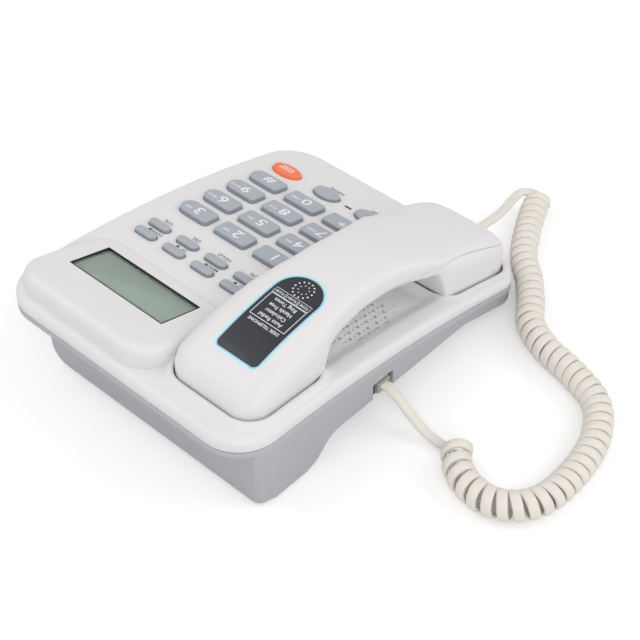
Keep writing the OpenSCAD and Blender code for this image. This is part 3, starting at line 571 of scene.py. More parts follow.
def extruded(name, outline, z0, z1, flare=0.0):
    """Closed prism over a plan outline; flare widens its upper end."""
    obj = circle_primitive(name, outline, z0)
    with edit_mode(obj):
        bpy.ops.mesh.extrude_region_move(TRANSFORM_OT_translate={"value": (0, 0, (z1 - z0) * MM)})
        if flare:
            (x0, x1), (y0, y1) = extents(outline)
            bpy.ops.transform.resize(
                value=(1 + 2 * flare / (x1 - x0), 1 + 2 * flare / (y1 - y0), 1),
                center_override=((x0 + x1) / 2 * MM, (y0 + y1) / 2 * MM, z1 * MM))
        bpy.ops.mesh.select_all(action="SELECT")
        bpy.ops.mesh.normals_make_consistent(inside=False)
    return obj


def in_triangles(obj):
    with edit_mode(obj):
        bpy.ops.mesh.quads_convert_to_tris()
    return obj


def side_prism(name, outline, x0, x1):
    """Prism over an outline of (y, z) points, from x0 to x1."""
    turn = Matrix(((0, 0, 1, 0), (1, 0, 0, 0), (0, 1, 0, 0), (0, 0, 0, 1)))
    return in_triangles(settle(extruded(name, outline, x0, x1), turn))


def follow_deck(obj):
    """Lifts a mesh drawn about z = 0 onto the deck's arc."""
    ys = [v.co.y / MM for v in obj.data.vertices]
    sliced(obj, 1, min(ys), max(ys), DECK_CUTS)
    for v in obj.data.vertices:
        v.co.z += deck_z(v.co.y / MM) * MM
    return obj


def arc(cx, cy, r, a0, a1, n=8):
    """Points on an arc from a0 to a1 degrees."""
    angles = [math.radians(a0 + (a1 - a0) * i / n) for i in range(n + 1)]
    return [(cx + r * math.cos(a), cy + r * math.sin(a)) for a in angles]


def circle(cx, cy, r, n):
    return arc(cx, cy, r, 0, 360 - 360 / n, n - 1)


def rectangle(x0, x1, y0, y1):
    return [(x0, y0), (x1, y0), (x1, y1), (x0, y1)]


def cup_outline(outer_y, inner_y, grow=0.0):
    """Outline of one handset cup, rounder at its outer corners."""
    s = 1 if outer_y > inner_y else -1
    edge_x = HANDSET_X + HANDSET_W / 2
    right = arc(edge_x - CUP_INNER_R, inner_y + s * CUP_INNER_R, CUP_INNER_R + grow, -90 * s, 0)
    right += arc(edge_x - CUP_R, outer_y - s * CUP_R, CUP_R + grow, 0, 90 * s)
    return right + [(2 * HANDSET_X - x, y) for x, y in reversed(right)]


def denser(outline):
    """The same outline with extra points along its long straight stretches, none of them twice."""
    out = []
    for (x0, y0), (x1, y1) in zip(outline, outline[1:] + outline[:1]):
        n = max(int(math.hypot(x1 - x0, y1 - y0) / OUTLINE_STEP), 1)
        out += [(x0 + (x1 - x0) * k / n, y0 + (y1 - y0) * k / n) for k in range(n)]
    return [p for i, p in enumerate(out) if not i or math.dist(p, out[i - 1]) > 2 * TINY]


def ridge(name, outline, rows):
    """Closed band along an outline, drawn from a grid: rows of (distance outwards, height)."""
    n, m = len(outline), len(rows)
    obj = primitive(name, bpy.ops.mesh.primitive_grid_add, x_subdivisions=n, y_subdivisions=m,
                    size=1, calc_uvs=False)
    area = sum(a[0] * b[1] - b[0] * a[1] for a, b in zip(outline, outline[1:] + outline[:1]))
    for v in obj.data.vertices:
        i, (out, height) = round((v.co.x + 0.5) * n) % n, rows[round((v.co.y + 0.5) * m) % m]
        x, y = outline[i]
        chord = Vector(outline[(i + 1) % n]) - Vector(outline[i - 1])
        push = math.copysign(out / chord.length, area)
        x, y = x + push * chord.y, y - push * chord.x
        v.co = (x * MM, y * MM, (deck_z(y) + height) * MM)
    with edit_mode(obj):
        bpy.ops.mesh.remove_doubles(threshold=TINY / 10 * MM)
        bpy.ops.mesh.normals_make_consistent(inside=False)
    return in_triangles(obj)


# ------------------ where the keys are

LEFT_ROUND, SQUARE, RIGHT_ROUND, STADIUM, OVAL = range(5)
KEY_W, KEY_D, KEY_R = 19.7, 10.2, 1.6
KEYPAD_X, KEYPAD_Y = 51.25, -21.2
KEY_PITCH_X, KEY_PITCH_Y = 25.0, 15.87
COLUMN_SHAPES = (LEFT_ROUND, SQUARE, RIGHT_ROUND)
KEY_NODES = (("key_1", "key_4", "key_7", "key_star"), ("key_2", "key_5", "key_8", "key_0"),
             ("key_3", "key_6", "key_9", "key_hash"))
PILL_X, PILL_PITCH_X, PILL_ROWS = 54.8, 18.5, (17.8, 26.4)
PILL_W, PILL_D = 12.6, 4.8
PILL_NODES = (("volume_key", "delete_key", "hold_key", "calc_key"),
              ("down_key", "up_key", "menu_key", "out_key"))
OVAL_X, OVAL_PITCH_X, OVAL_Y = 53.55, 26.9, -66.4
OVAL_WIDTHS, OVAL_D = (17.0, 15.0, 15.0), 10.4
OVAL_NODES = ("speaker_key", "redial_key", "flash_key")
OVAL_TURN = 8  # degrees between the points of an oval
KEY_GAP, KEY_HOLE_REACH = 0.35, 6
END_STEPS, CORNER_POINTS = 14, 5
LED_X, LED_W, LED_D = 12.5, 4.0, 1.3

KEY_ROW_STEP = KEY_PITCH_Y * math.cos(deck_slope(KEYPAD_Y))
NUMBER_KEYS = [(KEY_NODES[i][j], KEYPAD_X - (2 - i) * KEY_PITCH_X,
                KEYPAD_Y + (1.5 - j) * KEY_ROW_STEP - KEY_D / 2, KEY_W, KEY_D, COLUMN_SHAPES[i])
               for i in range(3) for j in range(4)]
PILL_KEYS = [(PILL_NODES[j][i], PILL_X - i * PILL_PITCH_X, PILL_ROWS[j], PILL_W, PILL_D, STADIUM)
             for j in range(2) for i in range(4)]
OVAL_KEYS = [(OVAL_NODES[i], OVAL_X - i * OVAL_PITCH_X, OVAL_Y, OVAL_WIDTHS[i], OVAL_D, OVAL)
             for i in range(3)]


def key_outline(w, d, shape, grow=0.0):
    """Plan of a key, or of its hole where it grows by the gap round it."""
    if shape == OVAL:
        angles = [math.radians(a) for a in range(0, 360, OVAL_TURN)]
        return [((w / 2 + grow) * math.cos(a), (d / 2 + grow) * math.sin(a)) for a in angles]

    def half(is_round):
        if is_round:
            return arc(w / 2 - d / 2, 0, d / 2 + grow, -90, 90, END_STEPS)
        corner = arc(w / 2 - KEY_R, d / 2 - KEY_R, KEY_R + grow, 0, 90, CORNER_POINTS)
        return [(x, -y) for x, y in reversed(corner)] + corner

    right, left = half(shape in (RIGHT_ROUND, STADIUM)), half(shape in (LEFT_ROUND, STADIUM))
    return right + [(-x, -y) for x, y in left]


def key_cutters():
    plans = [(key_outline(w, d, shape, KEY_GAP), x, y)
             for node, x, y, w, d, shape in NUMBER_KEYS + PILL_KEYS + OVAL_KEYS]
    plans.append((rectangle(-LED_W / 2, LED_W / 2, -LED_D / 2, LED_D / 2), LED_X, OVAL_Y))
    return joined("key_holes", [
        settle(extruded("hole", plan, -KEY_HOLE_REACH, KEY_HOLE_REACH), on_deck(x, y))
        for plan, x, y in plans])


# ------------------ white upper shell

# How far below the deck the block and its hollow end, and the shell's hollow below the seam
BLOCK_ROOT, BLOCK_HOLLOW_ROOT, HOLLOW_DROP = 10, 12, 3
# Tub round a well: its wall, its floor, how far its top stays under the deck
TUB_WALL, TUB_FLOOR, TUB_SUNK = 1.0, 2.4, 1
WELL_RISE, CLEAR_Z = 20, 60  # tops of the wells' cutters, over the deck and over the table
# Ridge round a well: distance outwards from its wall, height over the deck
EAR_RIM = [(0, -2), (0, 0.9), (0.3, 1.5), (0.9, 1.9), (1.7, 2.0), (2.5, 1.7), (3.2, 1.15),
           (3.9, 0.55), (4.5, 0.15), (5.0, -0.05), (5.0, -2)]
MOUTH_RIM = [(0, -2), (0, 0.05), (0.3, 0.35), (0.9, 0.5), (1.7, 0.42), (2.5, 0.15), (3.1, -0.1),
             (3.1, -2)]
WELLS = ((EAR_Y1, EAR_Y0, EAR_RIM), (MOUTH_Y0, MOUTH_Y1, MOUTH_RIM))

# Hollow under the handle, and the widths over which its sides and its ends ease in
TROUGH_DEPTH, TROUGH_HALF, TROUGH_SIDE_EASE, TROUGH_END_EASE = 4.0, 24.0, 9.0, 5.0
TROUGH_SMOOTH = 0.8  # share of the easing that is curved, the rest being straight
# Cuts across its cutter, where it starts over the deck, and how far it stands over the deck
TROUGH_CUTS_X, TROUGH_CUTS_Y, TROUGH_START, TROUGH_CLEAR = 34, 44, 0.12, 8
TROUGH_X0, TROUGH_X1 = HANDSET_X - TROUGH_HALF, HANDSET_X + TROUGH_HALF
TROUGH_FLOOR_LAP = (0.5, 1.3)  # how far its floor runs under the walls beside it, in x and in y

SPEAKER_X, SPEAKER_Y = -43.0, -2.0
GRILLE_ROWS, GRILLE_ROW_HALF, GRILLE_ROW_PITCH, GRILLE_PITCH, GRILLE_REACH = 19, 7, 3.4, 5.9, 19.1
HOLE_D, HOLE_DEPTH, DIMPLE_D, DIMPLE_DEPTH, DIMPLE_AT = 1.8, 8, 1.2, 0.7, 0.47
DASH_L, DASH_W, DASH_DEPTH, DASH_MARGIN = 3.6, 1.1, 0.5, 5
DASH_SHARES = (0.92, 0.78)  # shares of x and y that count towards a dash's reach
ABOVE_TROUGH = 4

LCD_X, LCD_Y, LCD_W, LCD_L = 28.0, 46.2, 59.0, 23.2
LCD_BORDER, LCD_RECESS, LCD_CUT = 3.0, 1.0, 12
LCD_LIP = (-0.35, 0.05, 0.4)  # chamfer of the window: from, to, and how far it flares
HOOK_X, HOOK_Y, HOOK_W, HOOK_D, HOOK_GAP, HOOK_HOLE_Z = -31.0, 66.0, 9.0, 4.6, 0.3, (28, 46)


def dash_outline():
    """Short slot with round ends, along y."""
    half, r = (DASH_L - DASH_W) / 2, DASH_W / 2
    return arc(0, half, r, 0, 180, 6) + arc(0, -half, r, 180, 360, 6)


def grille_cutters():
    """Round through holes with a smaller dimple beside each, and blind dashes around them."""
    holes, blind = [], []

    def cut(tools, name, outline, depth, x, y):
        tool = extruded(name, outline, -TROUGH_DEPTH - depth, ABOVE_TROUGH - TROUGH_DEPTH)
        tools.append(settle(tool, on_deck(SPEAKER_X + x, SPEAKER_Y + y)))

    for row in range(GRILLE_ROWS):
        x = (row - (GRILLE_ROWS - 1) / 2) * GRILLE_ROW_PITCH
        for k in range(-GRILLE_ROW_HALF, GRILLE_ROW_HALF):
            y = (k + (row + 1) % 2 / 2) * GRILLE_PITCH
            if math.hypot(x, y) < GRILLE_REACH:
                cut(holes, "hole", circle(0, 0, HOLE_D / 2, 12), HOLE_DEPTH, x, y)
                cut(blind, "dimple", circle(0, 0, DIMPLE_D / 2, 10), DIMPLE_DEPTH, x,
                    y + GRILLE_PITCH * DIMPLE_AT)
            elif (math.hypot(x * DASH_SHARES[0], y * DASH_SHARES[1]) < GRILLE_REACH
                  and abs(x) < TROUGH_HALF - DASH_MARGIN):
                cut(blind, "dash", dash_outline(), DASH_DEPTH, x, y)
    return joined("grille_holes", holes), joined("grille_dashes", blind)


def trough_depth_at(x, y):
    """Depth of the hollow under the handset's handle, easing in from its edges."""
    def ease(inside, width):
        t = min(max(inside / width, 0), 1)
        return t * t * (3 - 2 * t) * TROUGH_SMOOTH + t * (1 - TROUGH_SMOOTH)
    side, end = TROUGH_HALF - abs(x - HANDSET_X), min(y - MOUTH_Y1, EAR_Y0 - y)
    return TROUGH_DEPTH * ease(side, TROUGH_SIDE_EASE) * ease(end, TROUGH_END_EASE)


def trough_cutter():
    height = 10
    obj = block_of("trough", TROUGH_X0, TROUGH_X1, MOUTH_Y1, EAR_Y0, 0, height)
    sliced(obj, 0, TROUGH_X0, TROUGH_X1, TROUGH_CUTS_X)
    sliced(obj, 1, MOUTH_Y1, EAR_Y0, TROUGH_CUTS_Y)
    for v in obj.data.vertices:
        x, y = v.co.x / MM, v.co.y / MM
        is_floor = v.co.z < height / 2 * MM
        rise = TROUGH_START - trough_depth_at(x, y) if is_floor else TROUGH_CLEAR
        v.co.z = (deck_z(y) + rise) * MM
    return in_triangles(obj)


def plain_shell():
    """Deck and display block with their rims, hollow below."""
    shell = body_solid("top_shell", 0, deck_z, seam_z, edge=EDGE_R, foot=FOOT_R)
    block = block_solid("block", 0, lambda y: deck_z(y) - BLOCK_ROOT, edge=BLOCK_EDGE)
    combine(shell, block, "UNION")
    for outer_y, inner_y, rim in WELLS:
        outline = denser(cup_outline(outer_y, inner_y, CUP_GAP))
        combine(shell, ridge("rim", outline, rim), "UNION")
    for inside in (body_solid("inside", WALL, lambda y: deck_z(y) - WALL,
                              lambda y: seam_z(y) - HOLLOW_DROP),
                   block_solid("inside", WALL, lambda y: deck_z(y) - BLOCK_HOLLOW_ROOT)):
        combine(shell, inside, "DIFFERENCE")
    return shell


def sink_wells(shell):
    """Walls and floors of the two wells and of the hollow between them, then their insides."""
    depth = CUP_DEPTH + SEAT_GAP
    for outer_y, inner_y, rim in WELLS:
        tub = extruded("tub", denser(cup_outline(outer_y, inner_y, CUP_GAP + TUB_WALL)),
                       -depth - TUB_FLOOR, -TUB_SUNK)
        combine(shell, follow_deck(tub), "UNION")
    dx, dy = TROUGH_FLOOR_LAP
    floor = plan_solid("floor", TROUGH_X0 - dx, TROUGH_X1 + dx, MOUTH_Y1 - dy, EAR_Y0 + dy, 3,
                       lambda y: deck_z(y) - TUB_SUNK, lambda y: deck_z(y) - TROUGH_DEPTH - WALL)
    combine(shell, floor, "UNION")
    well = extruded("well", cup_outline(EAR_Y1, EAR_Y0, CUP_GAP), EAR_SOLE_Z - SEAT_GAP, CLEAR_Z)
    combine(shell, well, "DIFFERENCE")
    well = extruded("well", denser(cup_outline(MOUTH_Y0, MOUTH_Y1, CUP_GAP)), -depth, WELL_RISE)
    combine(shell, follow_deck(well), "DIFFERENCE")
    combine(shell, trough_cutter(), "DIFFERENCE")


def open_display(shell):
    """Display window with a thin chamfer, and the seat of its lens below."""
    w, l, b = LCD_W / 2, LCD_L, LCD_BORDER
    low, high, flare = LCD_LIP
    for tool in (extruded("window", rectangle(-w, w, 0, l), -LCD_CUT, 0),
                 extruded("lip", rectangle(-w, w, 0, l), low, high, flare),
                 extruded("seat", rectangle(-w - b, w + b, -b, l + b), -LCD_CUT, -LCD_RECESS)):
        combine(shell, settle(tool, on_block(LCD_X, LCD_Y)), "DIFFERENCE")


def top_shell():
    shell = plain_shell()
    sink_wells(shell)
    combine(shell, key_cutters(), "DIFFERENCE")
    for tool in grille_cutters():
        combine(shell, tool, "DIFFERENCE")
    open_display(shell)
    half_w, half_d = HOOK_W / 2 + HOOK_GAP, HOOK_D / 2 + HOOK_GAP
    hole = block_of("hook_hole", HOOK_X - half_w, HOOK_X + half_w, HOOK_Y - half_d,
                    HOOK_Y + half_d, *HOOK_HOLE_Z)
    combine(shell, hole, "DIFFERENCE")
    enrol(shell, SHELL, "base", "top_case", SHELL_CREASE)


top_shell()

# ------------------ grey lower case, small base parts

BODY_NODES = frame["record"]["behaviour"]["bodies"]
# Narrow groove under the parting line, and the shallow recess round the rear corner
PARTING_H, PARTING_DEPTH = 0.35, 0.8
RECESS_Y, RECESS_TOP, RECESS_R, RECESS_CORNER = 76.6, 26.0, 3.0, 4.6
RECESS_LEFT, RECESS_REAR, RECESS_SLOPE, RECESS_CLEAR = -74.0, 85.0, 2.4, 0.2
# Its cutter: how far it passes the case sideways, its back, its underside, its core's two levels
RECESS_PAST, RECESS_BACK_Y, RECESS_UNDER, RECESS_CORE_Z = 5, 100, -1, (-10, 40)
# y, z and rounding of the foot's front edges, and how near to y and z an edge has to be
FOOT_EDGES, FOOT_EDGE_STEPS, NEAR = ((54.0, 1.2, 3.5), (42.0, 12.5, 4.0)), 5, 0.3


def body_of(node):
    return next(body for body, nodes in BODY_NODES.items() if node in nodes)


def parting_groove():
    """Band under the parting line, without the core that stays."""
    band = body_solid("parting", -OVER, lambda y: seam_z(y) + 1, lambda y: seam_z(y) - PARTING_H)
    core = body_solid("core", PARTING_DEPTH, lambda y: seam_z(y) + 1 + OVER,
                      lambda y: seam_z(y) - 1 - OVER)
    return in_triangles(combine(band, core, "DIFFERENCE"))


def rear_recess():
    """Slab behind RECESS_Y without the core that stays, which slopes out to the side wall."""
    r, c, edge_x, far_x = RECESS_R, RECESS_CORNER, LEFT_X - RECESS_CLEAR, RIGHT_X - RECESS_PAST
    side = [(RECESS_BACK_Y, RECESS_UNDER), (RECESS_BACK_Y, RECESS_TOP)]
    side += arc(RECESS_Y + r, RECESS_TOP - r, r, 90, 180) + [(RECESS_Y, RECESS_UNDER)]
    slab = side_prism("recess", side, LEFT_X - RECESS_PAST, RIGHT_X + RECESS_PAST)
    plan = [(far_x, RECESS_REAR)] + arc(RECESS_LEFT + c, RECESS_REAR - c, c, 90, 180)
    plan += [(RECESS_LEFT, RECESS_Y + RECESS_SLOPE), (edge_x, RECESS_Y), (edge_x, 0), (far_x, 0)]
    core = in_triangles(extruded("core", plan, *RECESS_CORE_Z))
    return in_triangles(combine(slab, core, "DIFFERENCE"))


def case_details(case):
    """Groove, recess, and the long edges at both ends of the rear foot's front slope."""
    combine(case, parting_groove(), "DIFFERENCE")
    combine(case, rear_recess(), "DIFFERENCE")
    with edit_mode(case):
        bpy.ops.mesh.dissolve_limited(angle_limit=FLAT)
        for y, z, width in FOOT_EDGES:
            bevel_edges(case, width, FOOT_EDGE_STEPS, lambda e: all(
                abs(v.co.y / MM - y) < NEAR and abs(v.co.z / MM - z) < NEAR for v in e.verts))


def refined_parts():
    for node, name, mat, width, slot, shaping in (
            ("bottom_case", "lower_shell", BASE_GREY, 0.5, "case_grey", case_details),
            ("cord_jack", "cord_socket_body", DARK, 0.25, "dark_plastic", None),
            ("line_jack", "line_socket_body", DARK, 0.25, "dark_plastic", None),
            ("handset_jack", "handset_socket_body", DARK, 0.25, "dark_plastic", None),
            ("hook_plunger", "hook_button", SHELL, 0.5, "shell_white", None),
            ("rubber_feet", "foot_pads", RUBBER, 0.5, "foot_rubber", None)):
        part = refined(node, name, width, shaping)
        enrol(part, mat, body_of(node), node, PART_CREASE)


refined_parts()

# ------------------ keys and their print

KEY_H, KEY_SKIRT, KEY_FLANGE, KEY_FLANGE_T = 2.3, 3.8, 1.0, 1.0
PILL_H, OVAL_H = 2.0, 2.2
KEY_EDGE, PILL_EDGE, OVAL_EDGE, KEY_EDGE_STEPS = 0.55, 0.9, 1.4, 4
SIDE_TILT = 0.3  # a face of a cap whose normal rises less than this is one of its sides
DIGITS = dict(zip(sum(KEY_NODES, ()), "147*2580369#"))
LETTERS = {"key_2": "ABC", "key_3": "DEF", "key_4": "GHI", "key_5": "JKL", "key_6": "MNO",
           "key_7": "PQRS", "key_8": "TUV", "key_9": "WXYZ", "key_0": "OPER"}
PILL_WORDS = {"volume_key": "VOL", "delete_key": "DEL", "hold_key": "HOLD", "calc_key": "CAL",
              "down_key": "DOWN", "up_key": "UP", "menu_key": "MENU", "out_key": "OUT"}
# Thickness of print, how finely its curves are drawn, and its line spacing
PRINT_T, PRINT_CURVES, LINE_SPACE = 0.03, 4, 0.9
# How far each kind of print is thickened
DIGIT_WEIGHT, LETTER_WEIGHT, LABEL_WEIGHT, SPEAKER_WEIGHT = 0.05, 0.02, 0.04, 0.03
DIGIT_SIZE, DIGIT_SPREAD, DIGITS_X, DIGIT_Y = 8.0, 1.25, (-0.3, -1.4, -1.0), -0.3
LETTER_SIZE, LETTERS_AT = 2.3, (4.9, 1.0)
LABEL_SIZE, PILL_LABEL_AT, OVAL_LABEL_DROP = 2.9, (0, -5.6), 8.0
# Labels of the second row of small keys, and the dot beside each
SECOND_ROW_SIZE, SECOND_ROW_AT, SECOND_ROW_DOT, DOT_R = 2.3, (-2.4, -4.35), (1.9, -4.2), 0.9


def key_cap(key, height, edge, mat):
    """Moulded cap with a rounded top edge and a flange under the deck; the sides of a grey cap get a
    darker grey as painted shade.
    """
    node, x, y, w, d, shape = key
    cap = extruded(node + "_cap", key_outline(w, d, shape), -KEY_SKIRT, height)
    top = (height - TINY) * MM
    with edit_mode(cap):
        bevel_edges(cap, edge, KEY_EDGE_STEPS, lambda e: all(v.co.z > top for v in e.verts))
    flange = extruded("flange", key_outline(w, d, shape, KEY_FLANGE), -KEY_SKIRT,
                      KEY_FLANGE_T - KEY_SKIRT)
    combine(cap, flange, "UNION")
    enrol(cap, mat, body_of(node), node, KEY_CREASE)
    # Painted shade: the faces of a grey cap that face sideways take the darker grey
    if mat == KEY_GREY:
        cap.data.materials.append(KEY_SIDE_SHADE)
        for face in cap.data.polygons:
            face.material_index = 1 if abs(face.normal.z) < SIDE_TILT else 0
    settle(cap, on_deck(x, y))


def lettering(name, text, size, weight, spread=1.0):
    """Flat words as a closed mesh about the origin, PRINT_T thick."""
    words = primitive(name, bpy.ops.object.text_add)
    words.data.body = text
    words.data.size = size * MM
    words.data.align_x, words.data.align_y = "CENTER", "CENTER"
    words.data.extrude = PRINT_T / 2 * MM
    words.data.offset = weight * MM
    words.data.resolution_u = PRINT_CURVES
    words.data.space_line = LINE_SPACE
    bpy.ops.object.convert(target="MESH")
    obj = bpy.context.object
    with edit_mode(obj):
        bpy.ops.mesh.remove_doubles(threshold=TINY / 5 * MM)
        bpy.ops.mesh.normals_make_consistent(inside=False)
    return settle(obj, Matrix.Diagonal((spread, 1, 1, 1)))


def print_on_cap(obj, key, height, at):
    node, x, y = key[:3]
    shift = Matrix.Translation((at[0] * MM, at[1] * MM, 0))
    settle(obj, on_deck(x, y, height + PRINT_T / 2) @ shift)
    enrol(obj, PRINT_WHITE, node)


def label(key, text, size, at):
    """Grey word on the deck beside a key."""
    node, x, y = key[:3]
    words = lettering(node + "_label", text, size, LABEL_WEIGHT)
    settle(words, on_deck(x + at[0], y + at[1], PRINT_T / 2))
    enrol(words, PRINT_GREY, "base")


def number_keys():
    for key in NUMBER_KEYS:
        node, column = key[0], COLUMN_SHAPES.index(key[-1])
        key_cap(key, KEY_H, KEY_EDGE, KEY_GREY)
        digit = lettering(node + "_digit", DIGITS[node], DIGIT_SIZE, DIGIT_WEIGHT, DIGIT_SPREAD)
        print_on_cap(digit, key, KEY_H, (DIGITS_X[column], DIGIT_Y))
        if node in LETTERS:
            letters = lettering(node + "_letters", LETTERS[node], LETTER_SIZE, LETTER_WEIGHT)
            print_on_cap(letters, key, KEY_H, LETTERS_AT)


def small_keys():
    for key in PILL_KEYS:
        node, x, y = key[:3]
        key_cap(key, PILL_H, PILL_EDGE, KEY_GREY)
        if node in PILL_NODES[0]:
            label(key, PILL_WORDS[node], LABEL_SIZE, PILL_LABEL_AT)
            continue
        label(key, PILL_WORDS[node], SECOND_ROW_SIZE, SECOND_ROW_AT)
        dot = extruded(node + "_dot", circle(0, 0, DOT_R, 20), 0, PRINT_T)
        settle(dot, on_deck(x + SECOND_ROW_DOT[0], y + SECOND_ROW_DOT[1]))
        enrol(dot, PRINT_GREY, "base")


def oval_keys():
    speaker, redial, flash = OVAL_KEYS
    key_cap(speaker, OVAL_H, OVAL_EDGE, KEY_ORANGE)
    words = lettering("speaker_words", "SPEAKER\nPHONE", LETTER_SIZE, SPEAKER_WEIGHT)
    print_on_cap(words, speaker, OVAL_H, (0, 0))
    for key, text in ((redial, "REDIAL"), (flash, "FLASH")):
        key_cap(key, OVAL_H, OVAL_EDGE, KEY_GREY)
        label(key, text, LABEL_SIZE, (0, -OVAL_LABEL_DROP))


number_keys()
small_keys()
oval_keys()

# ------------------ display

# Width of the dark frame painted as shadow round the display, and how far under the window's face it
# lies
SHADOW_FRAME_W, SHADOW_FRAME_DROP = 0.45, 0.1


def display():
    """Dark frame inside the window's recess, over the clear lens: painted shadow round the display's
    edge.
    """
    w, l, t = LCD_W / 2, LCD_L, SHADOW_FRAME_W
    shadow_frame = extruded("display_shadow_frame", rectangle(-w, w, 0, l), -LCD_RECESS, -SHADOW_FRAME_DROP)
    hole = extruded("hole", rectangle(t - w, w - t, t, l - t), -LCD_RECESS - 1, 1)
    combine(shadow_frame, hole, "DIFFERENCE")
    enrol(settle(shadow_frame, on_block(LCD_X, LCD_Y)), DARK, "base")


display()

# ------------------ handset

# y, half width as a share of the cup's, crown and sole over the seat
STATIONS = ((83, 0.64, 7.2, 2.9), (82, 0.76, 10.8, 1.2), (79, 0.90, 14.4, 0.2), (73, 1, 17.6, 0),
            (60, 1, 22, 0), (49, 1, 24.7, 0), (41.5, 0.98, 26, 0), (38, 0.96, 26.6, 1.4),
            (35.5, 0.94, 26.9, 5.8), (32, 0.90, 27.3, 10), (20, 0.82, 28, 12.4),
            (5, 0.77, 27.5, 12.6), (-8, 0.77, 40.1, 26), (-20, 0.80, 37.4, 23.3),
            (-31, 0.87, 34.1, 20), (-38, 0.92, 31.8, 18), (-41, 0.95, 30.7, 11),
            (-43, 0.97, 30, 3.6), (-46, 0.98, 28.8, 0.6), (-58, 1, 27, 0), (-70, 1, 25.5, 0),
            (-81, 0.97, 24, 0), (-87, 0.91, 22.3, 0.4), (-90.5, 0.82, 19.6, 1.6),
            (-92, 0.68, 16.5, 3.6))
# y and height over the seat of the seam between the two shells
SEAM = ((90, 6.2), (60, 6.5), (46, 8.2), (38, 11.2), (22, 15), (5, 16.2), (-10, 29.7),
        (-25, 27.1), (-44, 24.7), (-66, 22.6), (-96, 16.8))
UPPER_POWER = 4
# Power of a section's lower half along y: fuller where it sits in a cup
LOWER_POWERS = ((-92, 4), (-86, 8), (-46, 8), (-38, 4), (32, 4), (40, 9), (76, 8), (83, 4))
HANDSET_SIDES, HANDSET_STEP, HANDSET_WALL = 72, 1.6, 2.0
REAR_END, MOUTH_END = STATIONS[0][0], STATIONS[-1][0]
HOLLOW_ENDS = (STATIONS[-4][0], STATIONS[2][0])
MOUTH_ROOT_Y = MOUTH_Y1 - 3.5  # towards the handle from here the mouth end's seat stays level
SEAM_STEPS, SEAM_W, SEAM_DEPTH, SEAM_REACH, UNDER_ALL = 90, 0.3, 0.4, 6, -20
SEAM_END_DEPTHS = (1, 0.5)  # depth of the seam's groove at the mouth end and at the rear end
RECEIVER_Y, RECEIVER_HOLE_D, RECEIVER_RING_R, MIC_Y, MIC_HOLE_D = 62.5, 2.0, 5, -66.0, 1.8
SCREW_HEAD_D, SCREW_GAP, SCREW_SEAT, JACK_GAP, HOLE_RISE, HOLE_SIDES = 4.8, 0.3, 1.2, 0.1, 6, 24


def seat_z(y):
    return EAR_SOLE_Z if y > 0 else deck_z(min(y, MOUTH_ROOT_Y)) - CUP_DEPTH


def smooth_curve(points):
    """Curve through (t, value) points that never swings past them."""
    pts = sorted(points)
    t, v = [p[0] for p in pts], [p[1] for p in pts]
    d = [(v[i + 1] - v[i]) / (t[i + 1] - t[i]) for i in range(len(t) - 1)]
    inner = [0.0 if a * b <= 0 else 2 * a * b / (a + b) for a, b in zip(d, d[1:])]
    m = [d[0]] + inner + [d[-1]]

    def value(x):
        x = min(max(x, t[0]), t[-1])
        i = max([k for k in range(len(t) - 1) if t[k] <= x])
        h = t[i + 1] - t[i]
        s = (x - t[i]) / h
        return ((1 + 2 * s) * (1 - s) ** 2 * v[i] + s * (1 - s) ** 2 * h * m[i]
                + s * s * (3 - 2 * s) * v[i + 1] + s * s * (s - 1) * h * m[i + 1])
    return value


half_at = smooth_curve([(y, share * HANDSET_W / 2) for y, share, crown, sole in STATIONS])
crown_at = smooth_curve([(y, seat_z(y) + crown) for y, share, crown, sole in STATIONS])
sole_at = smooth_curve([(y, seat_z(y) + sole) for y, share, crown, sole in STATIONS])
seam_at = smooth_curve([(y, seat_z(y) + up) for y, up in SEAM])
lower_power_at = smooth_curve(LOWER_POWERS)


def handset_form(name, y0, y1, inset=0.0):
    """Closed form of the handset between two ends: a cylinder cut and drawn to its sections."""
    obj = primitive(name, bpy.ops.mesh.primitive_cylinder_add, vertices=HANDSET_SIDES, radius=MM,
                    depth=(y1 - y0) * MM, location=(0, (y0 + y1) / 2 * MM, 0),
                    rotation=(-math.pi / 2, 0, 0))
    bpy.ops.object.transform_apply(location=True, rotation=True, scale=True)
    sliced(obj, 1, y0, y1, int((y1 - y0) / HANDSET_STEP))
    for v in obj.data.vertices:
        y = v.co.y / MM
        size = math.hypot(v.co.x, v.co.z)
        c, s = v.co.x / size, v.co.z / size
        low, high = sole_at(y) + inset, crown_at(y) - inset
        power = 2 / (UPPER_POWER if s > 0 else lower_power_at(y))
        v.co.x = (HANDSET_X + (half_at(y) - inset) * signed_power(c, power)) * MM
        v.co.z = ((low + high) / 2 + (high - low) / 2 * signed_power(s, power)) * MM
    return obj


def below_seam(lift=0.0, thick=None):
    """Everything below the seam, or a band of the given thickness whose top is lifted over it."""
    low, high = MOUTH_END - SEAM_REACH, REAR_END + SEAM_REACH
    ys = [low + (high - low) * k / SEAM_STEPS for k in range(SEAM_STEPS + 1)]
    outline = [(y, seam_at(y) + lift) for y in ys]
    if thick:
        outline += [(y, seam_at(y) + lift - thick) for y in reversed(ys)]
    else:
        outline += [(high, UNDER_ALL), (low, UNDER_ALL)]
    return side_prism("seam", outline, HANDSET_X - HANDSET_W, HANDSET_X + HANDSET_W)


def cad_box_of(node):
    return [Vector(corner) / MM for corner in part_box(node)]


